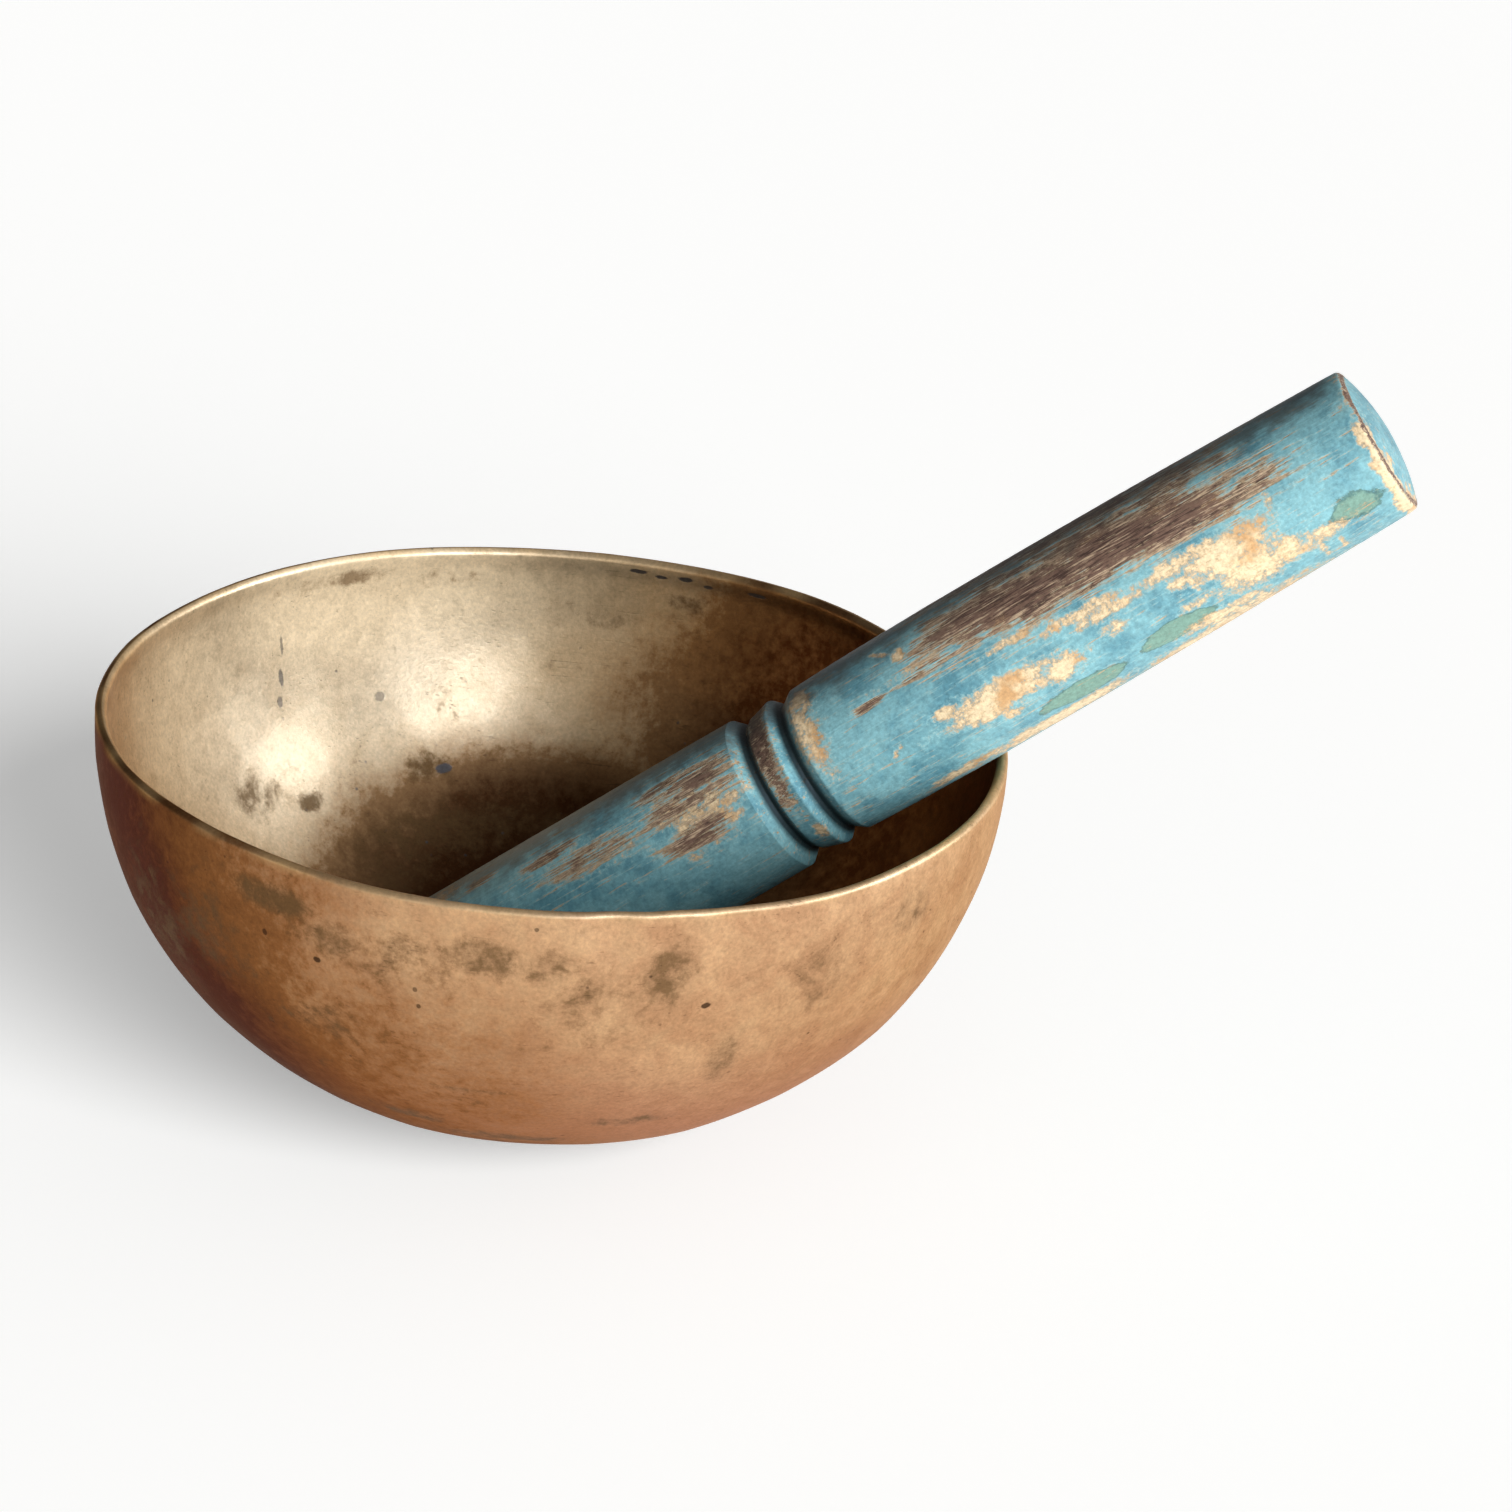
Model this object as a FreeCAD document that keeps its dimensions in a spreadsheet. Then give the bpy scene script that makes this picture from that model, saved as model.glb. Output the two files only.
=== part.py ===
"""A hand-hammered bronze singing bowl with its turned wooden mallet leaning in it.

Frame: millimetres, +Z up. The origin is the centre of the flat foot that the bowl stands on,
and the mallet lies in the XZ plane with its handle towards +X.
"""

import FreeCAD, Part
import math
import os

import Sketcher

# Driving sizes, all in millimetres.
SIZES = [
    # bowl
    ("rim_radius", 84.0, "outer radius at the top of the lip"),
    ("bowl_height", 73.6, "from the foot to the top of the lip"),
    ("foot_radius", 20.0, "flat spot that the bowl stands on"),
    ("base_arc_radius", 130.0, "outer curve next to the foot"),
    ("wall_arc_radius", 70.25, "outer curve of the wall, tangent to the base curve"),
    ("wall_thickness", 1.8, "hammered wall, measured square to it"),
    ("floor_thickness", 2.0, "metal over the flat foot"),
    ("lip_thickness", 2.5, "thickened lip, measured across its top"),
    ("lip_depth", 3.4, "depth of the thickened lip below its top"),
    ("lip_ledge", 1.2, "height of the slope from the lip back to the wall"),
    ("lip_round", 1.0, "rounding of the lip's two top edges"),
    # mallet, stations measured along its axis
    ("tip_radius", 15.8, "striking end"),
    ("tip_round", 1.8, "worn edge of the striking end"),
    ("striker_length", 76.3, "from the striking end to the crest beside the first groove"),
    ("crest_radius", 15.4, "crest beside the first groove"),
    ("groove_radius", 12.8, "bottom of both grooves"),
    ("groove_run", 2.7, "from a full-size edge down to a groove's bottom"),
    ("bead_foot_run", 1.4, "from the first groove's bottom to the foot of the bead"),
    ("bead_foot_radius", 13.9, "foot of the bead on the first groove's side"),
    ("bead_length", 5.2, "length of the bead"),
    ("bead_end_radius", 14.6, "bead's end beside the second groove"),
    ("bead_bulge_radius", 9.0, "curve of the bead along the axis"),
    ("shoulder_radius", 14.7, "handle where it leaves the second groove"),
    ("shoulder_round", 1.2, "rounding of the handle's shoulder"),
    ("handle_length", 116.0, "from the shoulder to the edge of the handle's end"),
    ("handle_belly_radius", 15.3, "thickest part of the handle"),
    ("belly_station", 33.0, "from the shoulder to the thickest part"),
    ("handle_end_radius", 14.1, "handle's free end"),
    ("end_round", 1.2, "rounding of the handle's end"),
    ("end_dome", 2.0, "height of the slightly domed end"),
    # how the mallet lies in the bowl
    ("tip_rest", 8.8, "from the bowl's axis to where the striking end rests on the floor"),
    ("rest_gap", 0.3, "gap left at both places where the mallet rests"),
]

# Sketcher's numbers for the origin point, the vertical axis and the points of an edge.
ORIGIN = (-1, 1)
Z_AXIS = -2
START, END, CENTRE = 1, 2, 3

SAME_RING = 0.01  # two circular edges this close in radius and height are the same edge
FIRST_TILT = 45.0  # any turn about Y, which keeps that axis until the lean is worked out


def make_sheet(doc):
    """Put every driving size in the spreadsheet, with its name as alias."""
    sheet = doc.addObject("Spreadsheet::Sheet", "Sizes")
    for row, (name, value, note) in enumerate(SIZES, start=1):
        sheet.set(f"A{row}", name)
        sheet.set(f"B{row}", str(value))
        sheet.set(f"C{row}", note)
        sheet.setAlias(f"B{row}", name)
    doc.recompute()
    return sheet


def origin_plane(body, role):
    """Return one of the body's own origin planes."""
    return next(item for item in body.Origin.OriginFeatures if item.Role == role)


def half_section(body, name):
    """Start a sketch on the body's XZ plane: sketch x is the radius, sketch y the height."""
    sketch = body.newObject("Sketcher::SketchObject", name)
    sketch.AttachmentSupport = (origin_plane(body, "XZ_Plane"), [""])
    sketch.MapMode = "FlatFace"
    return sketch


def point(x, y):
    return FreeCAD.Vector(x, y, 0)


def line(sketch, start, end):
    return sketch.addGeometry(Part.LineSegment(point(*start), point(*end)), False)


def arc(sketch, centre, radius, start, end):
    """Add an arc that runs anticlockwise from start to end, both points on it."""
    circle = Part.Circle(point(*centre), FreeCAD.Vector(0, 0, 1), radius)
    angles = [math.atan2(p[1] - centre[1], p[0] - centre[0]) for p in (start, end)]
    if angles[1] < angles[0]:
        angles[1] += 2 * math.pi
    return sketch.addGeometry(Part.ArcOfCircle(circle, *angles), False)


def join(sketch, first, first_end, second, second_end):
    sketch.addConstraint(Sketcher.Constraint("Coincident", first, first_end, second, second_end))


def bind(sketch, constraint, expression):
    """Add a dimension and tie its value to the sheet."""
    index = sketch.addConstraint(constraint)
    sketch.setExpression(f"Constraints[{index}]", expression)


def place(sketch, geometry, end, radius=None, height=None):
    """Fix a point's distance from the axis and its height by expressions on the sheet."""
    if radius is not None:
        at = sketch.getPoint(geometry, end).x
        bind(sketch, Sketcher.Constraint("DistanceX", *ORIGIN, geometry, end, at), radius)
    if height is not None:
        at = sketch.getPoint(geometry, end).y
        bind(sketch, Sketcher.Constraint("DistanceY", *ORIGIN, geometry, end, at), height)


def revolve(body, sketch, name):
    """Turn a half section once round the body's own Z axis."""
    solid = body.newObject("PartDesign::Revolution", name)
    solid.Profile = sketch
    solid.ReferenceAxis = (sketch, ["V_Axis"])
    solid.Angle = 360.0
    body.Document.recompute()
    return solid


def round_edges(body, base, name, rings, radius):
    """Fillet the circular edges at the given (radius, height) places by a size of the sheet."""
    picked = []
    for index, edge in enumerate(base.Shape.Edges, start=1):
        if edge.Degenerated or not isinstance(edge.Curve, Part.Circle):
            continue
        ring = (edge.Curve.Radius, edge.Curve.Center.z)
        if any(math.dist(ring, wanted) < SAME_RING for wanted in rings):
            picked.append(f"Edge{index}")
    if len(picked) != len(rings):
        raise RuntimeError(f"{name}: found {len(picked)} of {len(rings)} edges")
    fillet = body.newObject("PartDesign::Fillet", name)
    fillet.Base = (base, picked)
    fillet.setExpression("Radius", f"Sizes.{radius}")
    body.Document.recompute()
    return fillet


def wall_arc_centre(size):
    """Centre of the wall's curve: it passes through the rim and is tangent to the base curve."""
    base_centre_z = math.sqrt(size["base_arc_radius"] ** 2 - size["foot_radius"] ** 2)
    reach = size["base_arc_radius"] - size["wall_arc_radius"]
    across = size["rim_radius"]
    drop = size["bowl_height"] - base_centre_z
    span = math.hypot(across, drop)
    along = (reach**2 - size["wall_arc_radius"] ** 2 + span**2) / (2 * span)
    aside = math.sqrt(reach**2 - along**2)
    return (
        (along * across + aside * drop) / span,
        base_centre_z + (along * drop - aside * across) / span,
    )


def on_arc(centre, radius, other_centre):
    """Point of an arc on the line that leaves other_centre and passes through centre."""
    dx = centre[0] - other_centre[0]
    dy = centre[1] - other_centre[1]
    length = math.hypot(dx, dy)
    return centre[0] + dx / length * radius, centre[1] + dy / length * radius


def arc_radius_at(centre, radius, height):
    """Distance from the axis of an arc's right-hand point at a height."""
    return centre[0] + math.sqrt(radius**2 - (height - centre[1]) ** 2)


def make_bowl(doc, size):
    """Bowl: two tangent arcs outside, the same arcs offset inside, a flat foot, a thick lip."""
    body = doc.addObject("PartDesign::Body", "Bowl")
    body.Label = "bowl"
    sketch = half_section(body, "BowlSection")

    wall = size["wall_thickness"]
    floor = size["floor_thickness"]
    base_centre = (0.0, math.sqrt(size["base_arc_radius"] ** 2 - size["foot_radius"] ** 2))
    wall_centre = wall_arc_centre(size)
    foot = (size["foot_radius"], 0.0)
    turn_out = on_arc(wall_centre, size["wall_arc_radius"], base_centre)
    rim_out = (size["rim_radius"], size["bowl_height"])
    rim_in = (size["rim_radius"] - size["lip_thickness"], size["bowl_height"])
    lip_in = (rim_in[0], size["bowl_height"] - size["lip_depth"])
    ledge_z = lip_in[1] - size["lip_ledge"]
    ledge = (arc_radius_at(wall_centre, size["wall_arc_radius"] - wall, ledge_z), ledge_z)
    turn_in = on_arc(wall_centre, size["wall_arc_radius"] - wall, base_centre)
    inner_base = size["base_arc_radius"] - wall
    floor_in = (math.sqrt(inner_base**2 - (base_centre[1] - floor) ** 2), floor)

    underside = line(sketch, (0, 0), foot)
    base_out = arc(sketch, base_centre, size["base_arc_radius"], foot, turn_out)
    wall_out = arc(sketch, wall_centre, size["wall_arc_radius"], turn_out, rim_out)
    top = line(sketch, rim_out, rim_in)
    lip = line(sketch, rim_in, lip_in)
    slope = line(sketch, lip_in, ledge)
    wall_in = arc(sketch, wall_centre, size["wall_arc_radius"] - wall, turn_in, ledge)
    base_in = arc(sketch, base_centre, inner_base, floor_in, turn_in)
    floor_line = line(sketch, floor_in, (0, floor))
    axis = line(sketch, (0, floor), (0, 0))

    join(sketch, underside, END, base_out, START)
    join(sketch, top, END, lip, START)
    join(sketch, lip, END, slope, START)
    join(sketch, slope, END, wall_in, END)
    join(sketch, wall_out, END, top, START)
    join(sketch, base_in, START, floor_line, START)
    join(sketch, floor_line, END, axis, START)
    join(sketch, axis, END, underside, START)
    join(sketch, underside, START, *ORIGIN)
    join(sketch, base_in, CENTRE, base_out, CENTRE)
    join(sketch, wall_in, CENTRE, wall_out, CENTRE)
    sketch.addConstraint(Sketcher.Constraint("Tangent", base_out, END, wall_out, START))
    sketch.addConstraint(Sketcher.Constraint("Tangent", base_in, END, wall_in, START))
    sketch.addConstraint(Sketcher.Constraint("PointOnObject", base_out, CENTRE, Z_AXIS))
    sketch.addConstraint(Sketcher.Constraint("PointOnObject", axis, START, Z_AXIS))
    for flat in (underside, top, floor_line):
        sketch.addConstraint(Sketcher.Constraint("Horizontal", flat))
    sketch.addConstraint(Sketcher.Constraint("Vertical", lip))

    place(sketch, underside, END, radius="Sizes.foot_radius")
    place(sketch, top, START, "Sizes.rim_radius", "Sizes.bowl_height")
    place(sketch, top, END, radius="Sizes.rim_radius - Sizes.lip_thickness")
    place(sketch, lip, END, height="Sizes.bowl_height - Sizes.lip_depth")
    place(sketch, slope, END, height="Sizes.bowl_height - Sizes.lip_depth - Sizes.lip_ledge")
    place(sketch, floor_line, START, height="Sizes.floor_thickness")
    for curve, radius in (
        (base_out, "Sizes.base_arc_radius"),
        (wall_out, "Sizes.wall_arc_radius"),
        (wall_in, "Sizes.wall_arc_radius - Sizes.wall_thickness"),
    ):
        value = sketch.Geometry[curve].Radius
        bind(sketch, Sketcher.Constraint("Radius", curve, value), radius)

    turned = revolve(body, sketch, "BowlWall")
    round_edges(body, turned, "LipRounds", (rim_out, rim_in), "lip_round")
    return body


def make_mallet(doc, size):
    """Mallet, turned round its own Z axis with the striking end at z = 0."""
    body = doc.addObject("PartDesign::Body", "Mallet")
    body.Label = "mallet"
    sketch = half_section(body, "MalletSection")

    # Stations along the axis, as expressions on the sheet.
    crest = "Sizes.striker_length"
    first_groove = f"{crest} + Sizes.groove_run"
    bead_foot = f"{first_groove} + Sizes.bead_foot_run"
    bead_end = f"{bead_foot} + Sizes.bead_length"
    second_groove = f"{bead_end} + Sizes.bead_foot_run"
    shoulder = f"{second_groove} + Sizes.groove_run"
    belly = f"{shoulder} + Sizes.belly_station"
    handle_end = f"{shoulder} + Sizes.handle_length"

    # The outline from the striking end up to the handle's end: radius and station of each point.
    outline = [
        ("Sizes.tip_radius", "0"),
        ("Sizes.crest_radius", crest),
        ("Sizes.groove_radius", first_groove),
        ("Sizes.bead_foot_radius", bead_foot),
        ("Sizes.bead_end_radius", bead_end),
        ("Sizes.groove_radius", second_groove),
        ("Sizes.shoulder_radius", shoulder),
        ("Sizes.handle_belly_radius", belly),
        ("Sizes.handle_end_radius", handle_end),
    ]
    points = [(evaluate(radius, size), evaluate(station, size)) for radius, station in outline]
    tip, crest_at, groove_at, foot_at, bead_at, groove_2_at, shoulder_at, belly_at, end_at = points
    dome_at = (0.0, end_at[1] + size["end_dome"])
    dome_radius = (end_at[0] ** 2 + size["end_dome"] ** 2) / (2 * size["end_dome"])
    dome_centre = (0.0, dome_at[1] - dome_radius)
    bead_radius = size["bead_bulge_radius"]

    end_face = line(sketch, (0, 0), tip)
    striker = line(sketch, tip, crest_at)
    groove_wall = line(sketch, crest_at, groove_at)
    bead_rise = line(sketch, groove_at, foot_at)
    bead = arc(sketch, bulge_centre(foot_at, bead_at, bead_radius), bead_radius, foot_at, bead_at)
    bead_fall = line(sketch, bead_at, groove_2_at)
    shoulder_wall = line(sketch, groove_2_at, shoulder_at)
    lower_centre, lower_radius = flat_topped_arc(belly_at, shoulder_at)
    lower_handle = arc(sketch, lower_centre, lower_radius, shoulder_at, belly_at)
    upper_centre, upper_radius = flat_topped_arc(belly_at, end_at)
    upper_handle = arc(sketch, upper_centre, upper_radius, belly_at, end_at)
    dome = arc(sketch, dome_centre, dome_radius, end_at, dome_at)
    axis = line(sketch, dome_at, (0, 0))

    chain = [
        end_face, striker, groove_wall, bead_rise, bead, bead_fall,
        shoulder_wall, lower_handle, upper_handle, dome, axis,
    ]
    for before, after in zip(chain, chain[1:]):
        join(sketch, before, END, after, START)
    join(sketch, axis, END, end_face, START)
    join(sketch, end_face, START, *ORIGIN)
    sketch.addConstraint(Sketcher.Constraint("Horizontal", end_face))
    sketch.addConstraint(Sketcher.Constraint("PointOnObject", axis, START, Z_AXIS))
    sketch.addConstraint(Sketcher.Constraint("PointOnObject", dome, CENTRE, Z_AXIS))

    for geometry, (radius, station) in zip(chain, outline):
        place(sketch, geometry, END, radius, None if station == "0" else station)
    place(sketch, dome, END, height=f"{handle_end} + Sizes.end_dome")
    bulge = Sketcher.Constraint("Radius", bead, bead_radius)
    bind(sketch, bulge, "Sizes.bead_bulge_radius")
    for curve in (lower_handle, upper_handle):
        place(sketch, curve, CENTRE, height=belly)

    turned = revolve(body, sketch, "TurnedWood")
    tip_rounded = round_edges(body, turned, "TipRound", (tip,), "tip_round")
    shoulder_rounded = round_edges(
        body, tip_rounded, "ShoulderRound", (shoulder_at,), "shoulder_round"
    )
    round_edges(body, shoulder_rounded, "EndRound", (end_at,), "end_round")
    return body


def evaluate(expression, size):
    """Value of a sum of sheet sizes."""
    terms = [term.strip() for term in expression.split("+")]
    return sum(size[term[6:]] if term.startswith("Sizes.") else float(term) for term in terms)


def bulge_centre(start, end, radius):
    """Centre of the arc through two points that bulges away from the axis."""
    mid = ((start[0] + end[0]) / 2, (start[1] + end[1]) / 2)
    chord = math.dist(start, end)
    back = math.sqrt(radius**2 - (chord / 2) ** 2)
    return (
        mid[0] - back * (end[1] - start[1]) / chord,
        mid[1] + back * (end[0] - start[0]) / chord,
    )


def flat_topped_arc(top, end):
    """Centre and radius of the arc through both points that runs along the axis at top."""
    drop = top[0] - end[0]
    run = abs(end[1] - top[1])
    radius = (drop**2 + run**2) / (2 * drop)
    return (top[0] - radius, top[1]), radius


def lean_mallet(mallet):
    """Lay the mallet on the lip and on the floor, the named gap clear of both.

    Seen from the side, the mallet's lower line passes under the centre line by its own radius.
    It stays outside the lip's rounded edge and holds the rounded tip edge inside it, which fixes
    the lean; the tip then stands on the floor.
    """
    lip_x = "(Sizes.rim_radius - Sizes.lip_thickness + Sizes.lip_round)"
    lip_z = "(Sizes.bowl_height - Sizes.lip_round)"
    tip_x = "(0 - Sizes.tip_rest)"
    tip_z = "(Sizes.floor_thickness + Sizes.rest_gap + Sizes.tip_round)"
    above_lip = "(Sizes.handle_belly_radius + Sizes.lip_round + Sizes.rest_gap)"
    above_tip = "(Sizes.tip_radius - Sizes.tip_round)"
    span = f"sqrt(({lip_x} - {tip_x})^2 + ({lip_z} - {tip_z})^2)"
    chord = f"atan(({lip_z} - {tip_z}) / ({lip_x} - {tip_x}))"
    lean = f"({chord} + asin(({above_lip} - {above_tip}) / {span}))"

    mallet.Placement = FreeCAD.Placement(
        FreeCAD.Vector(), FreeCAD.Rotation(FreeCAD.Vector(0, 1, 0), FIRST_TILT)
    )
    mallet.setExpression(".Placement.Rotation.Angle", f"90 deg - {lean}")
    across = f"{above_tip} * sin({lean}) + Sizes.tip_round * cos({lean})"
    up = f"{above_tip} * cos({lean}) - Sizes.tip_round * sin({lean})"
    mallet.setExpression(".Placement.Base.x", f"({tip_x} - ({across})) * 1 mm")
    mallet.setExpression(".Placement.Base.z", f"({tip_z} + {up}) * 1 mm")


def check(doc, bodies):
    """Stop before anything is written if an object failed or a solid is not sound."""
    for item in doc.Objects:
        if "Invalid" in item.State or "Error" in item.State:
            raise RuntimeError(f"{item.Name} failed: {item.State}")
    for body in bodies:
        if body.Shape.isNull() or not body.Shape.isValid() or len(body.Shape.Solids) != 1:
            raise RuntimeError(f"{body.Label} has no sound solid")


def main():
    doc = FreeCAD.newDocument("SingingBowl")
    make_sheet(doc)
    size = {name: value for name, value, note in SIZES}
    bowl = make_bowl(doc, size)
    mallet = make_mallet(doc, size)
    lean_mallet(mallet)
    doc.recompute()
    bodies = [bowl, mallet]
    check(doc, bodies)
    os.makedirs("parts", exist_ok=True)
    for body in bodies:
        body.Shape.exportStep(f"parts/{body.Label}.step")
        box = body.Shape.BoundBox
        print(
            f"{body.Label}: {body.Shape.Volume / 1000:.1f} cm3,"
            f" x {box.XMin:.1f} to {box.XMax:.1f}, z {box.ZMin:.2f} to {box.ZMax:.1f}"
        )
    angle = 90 - math.degrees(mallet.Placement.Rotation.Angle)
    print(f"mallet leans at {angle:.2f} degrees, its end at {mallet.Placement.Base}")
    print(f"bowl to mallet: {bowl.Shape.distToShape(mallet.Shape)[0]:.3f} mm")


main()
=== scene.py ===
"""Looks of a hand-hammered bronze singing bowl with a worn, painted mallet leaning in it.

Frame: metres, +Z up. The origin is the centre of the bowl's flat foot, and the mallet lies in the
XZ plane with its handle towards +X. Sizes in the classes are millimetres and angles are degrees.
"""

import logging
import math
from dataclasses import dataclass, field
from enum import Enum
from typing import Any

import bmesh
import bpy
from mathutils import Matrix, Vector, noise


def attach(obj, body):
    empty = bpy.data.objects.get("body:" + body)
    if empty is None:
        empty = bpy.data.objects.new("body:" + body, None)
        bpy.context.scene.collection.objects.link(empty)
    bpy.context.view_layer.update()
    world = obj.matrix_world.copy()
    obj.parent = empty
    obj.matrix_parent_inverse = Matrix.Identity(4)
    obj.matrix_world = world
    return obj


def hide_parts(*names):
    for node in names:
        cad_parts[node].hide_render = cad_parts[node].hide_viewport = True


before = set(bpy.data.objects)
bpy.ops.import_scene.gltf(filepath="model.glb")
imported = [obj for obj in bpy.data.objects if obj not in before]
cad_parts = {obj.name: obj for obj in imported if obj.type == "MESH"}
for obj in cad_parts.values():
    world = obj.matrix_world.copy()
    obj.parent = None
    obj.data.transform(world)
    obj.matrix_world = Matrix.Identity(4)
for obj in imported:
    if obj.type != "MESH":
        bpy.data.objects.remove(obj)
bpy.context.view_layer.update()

MM = 0.001
LOG = logging.getLogger("singing_bowl")

Socket = bpy.types.NodeSocket

# Blender's names for the nodes that come back most often, and their settings.
MIX, MATH, VECTOR = "ShaderNodeMix", "ShaderNodeMath", "ShaderNodeVectorMath"
RANGE, NOISE = "ShaderNodeMapRange", "ShaderNodeTexNoise"
COLOURS = {"data_type": "RGBA"}
SMOOTH = {"interpolation_type": "SMOOTHSTEP"}
CLAMPED = {"use_clamp": True}
ADD, TIMES = {"operation": "ADD"}, {"operation": "MULTIPLY"}
WEIGH, LARGER = {"operation": "MULTIPLY_ADD"}, {"operation": "MAXIMUM"}
# Input numbers of the Mix node when it mixes colours, and of its result: its names repeat.
FACTOR, FIRST, SECOND, MIXED = 0, 6, 7, 2


def linear(hex_colour: str) -> tuple[float, float, float, float]:
    """Turn an sRGB colour such as "c8a46a" into a linear colour with alpha.

    Args:
        hex_colour: Six hexadecimal digits.

    Returns:
        Linear red, green, blue and an alpha of one.
    """
    values = []
    for start in (0, 2, 4):
        part = int(hex_colour[start:start + 2], 16) / 255
        values.append(part / 12.92 if part <= 0.04045 else ((part + 0.055) / 1.055) ** 2.4)
    return values[0], values[1], values[2], 1.0


def add_node(
    tree: bpy.types.NodeTree,
    kind: str,
    settings: dict[str, Any] | None = None,
    inputs: dict[str | int, Any] | None = None,
    output: str | int = 0,
) -> Socket | None:
    """Add a node with its settings, its values and its links.

    Args:
        tree: The node tree that gets the node.
        kind: Blender's name for the type of node.
        settings: The node's own properties.
        inputs: A value, or an output socket to link from, for each input's name or number.
        output: Name or number of the output that is wanted.

    Returns:
        That output, or nothing from a node that has none.
    """
    node = tree.nodes.new(kind)
    for name, value in (settings or {}).items():
        setattr(node, name, value)
    for name, value in (inputs or {}).items():
        if isinstance(value, Socket):
            tree.links.new(value, node.inputs[name])
        else:
            node.inputs[name].default_value = value
    return node.outputs[output] if node.outputs else None


def empty_tree(owner: bpy.types.Material | bpy.types.World) -> bpy.types.NodeTree:
    """Switch on the nodes of a material or a world and clear them away."""
    owner.use_nodes = True
    owner.node_tree.nodes.clear()
    return owner.node_tree


def smooth_fade(value: float, full: float, none: float) -> float:
    """Fall smoothly from one at `full` to zero at `none`.

    Args:
        value: The distance that is tested.
        full: Distance up to which the result is one.
        none: Distance from which the result is zero.

    Returns:
        A number from zero to one.
    """
    share = min(1.0, max(0.0, (none - value) / (none - full)))
    return share * share * (3 - 2 * share)


def turn_between(angle: float, start: float) -> float:
    """Turn from one angle to another in degrees, from -180 up to 180."""
    return (angle - start + 180) % 360 - 180


@dataclass
class Outline:
    """A half section that is drawn point by point: x is the radius, y the height.

    Each point carries a side number, which the skin keeps as an attribute.
    """

    step: float
    points: list[tuple[float, float, float]] = field(default_factory=list)
    side: float = 0.0

    def start(self, point: tuple[float, float]) -> None:
        """Put down the first point."""
        self.points.append((point[0], point[1], self.side))

    def line(self, end: tuple[float, float]) -> None:
        """Draw a straight run in short steps to `end`."""
        first = self.points[-1]
        count = max(1, round(math.dist(first[:2], end) / self.step))
        for index in range(1, count + 1):
            share = index / count
            x = first[0] + (end[0] - first[0]) * share
            y = first[1] + (end[1] - first[1]) * share
            self.points.append((x, y, self.side))

    def arc(self, centre: tuple[float, float], end: tuple[float, float], least: int = 1) -> None:
        """Draw the shorter arc about `centre` from the last point to `end`.

        Args:
            centre: Centre of the arc.
            end: Where the arc ends, as far from the centre as the last point is.
            least: Fewest steps that the arc may have.
        """
        first = self.points[-1]
        angle = math.atan2(first[1] - centre[1], first[0] - centre[0])
        turn = math.atan2(end[1] - centre[1], end[0] - centre[0]) - angle
        turn = (turn + math.pi) % (2 * math.pi) - math.pi
        radius = math.dist(end, centre)
        count = max(least, round(abs(turn) * radius / self.step))
        for index in range(1, count + 1):
            at = angle + turn * index / count
            x = centre[0] + radius * math.cos(at)
            y = centre[1] + radius * math.sin(at)
            self.points.append((x, y, self.side))

    def rounded(self, corner: tuple[float, float], after: tuple[float, float], radius: float,
                least: int = 4) -> None:
        """Run straight to a corner and round it off towards the point after it.

        Args:
            corner: The sharp corner.
            after: The point that the outline runs to next.
            radius: Radius of the rounding.
            least: Fewest steps in the rounding.
        """
        here = Vector(corner)
        back = (Vector(self.points[-1][:2]) - here).normalized()
        ahead = (Vector(after) - here).normalized()
        half = back.angle(ahead) / 2
        reach = radius / math.tan(half)
        centre = here + (back + ahead).normalized() * (radius / math.sin(half))
        self.line(tuple(here + back * reach))
        self.arc(tuple(centre), tuple(here + ahead * reach), least)

    def spin(self, steps: int) -> bmesh.types.BMesh:
        """Turn the outline once round the axis into a closed skin.

        Args:
            steps: Number of steps in the full turn.

        Returns:
            A bmesh in metres whose faces point outwards, with the float layer "side".
        """
        skin = bmesh.new()
        layer = skin.verts.layers.float.new("side")
        before = None
        for x, y, side in self.points:
            vert = skin.verts.new((x * MM, 0.0, y * MM))
            vert[layer] = side
            if before is not None:
                skin.edges.new((before, vert))
            before = vert
        bmesh.ops.spin(
            skin, geom=skin.verts[:] + skin.edges[:], cent=(0, 0, 0), axis=(0, 0, 1),
            dvec=(0, 0, 0), angle=2 * math.pi, steps=steps, use_merge=True,
        )
        bmesh.ops.remove_doubles(skin, verts=skin.verts[:], dist=0.001 * MM)
        bmesh.ops.recalc_face_normals(skin, faces=skin.faces[:])
        return skin


def finish_piece(skin: bmesh.types.BMesh, name: str, material: bpy.types.Material) -> bpy.types.Object:
    """Turn a bmesh into a smooth-shaded object in the scene.

    Args:
        skin: The finished bmesh, which is freed.
        name: Name of the piece.
        material: Its only material.

    Returns:
        The new object, at the origin.
    """
    mesh = bpy.data.meshes.new(name)
    for face in skin.faces:
        face.smooth = True
    skin.to_mesh(mesh)
    skin.free()
    mesh.materials.append(material)
    piece = bpy.data.objects.new(name, mesh)
    bpy.context.scene.collection.objects.link(piece)
    return piece


# --- Finishes ---


@dataclass(frozen=True)
class Spot:
    """A small dark fleck in the bronze: place on the wall and size, all in millimetres."""

    azimuth: float
    height: float
    width: float
    tall: float
    inside: bool = False
    tone: float = 1.0


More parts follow.
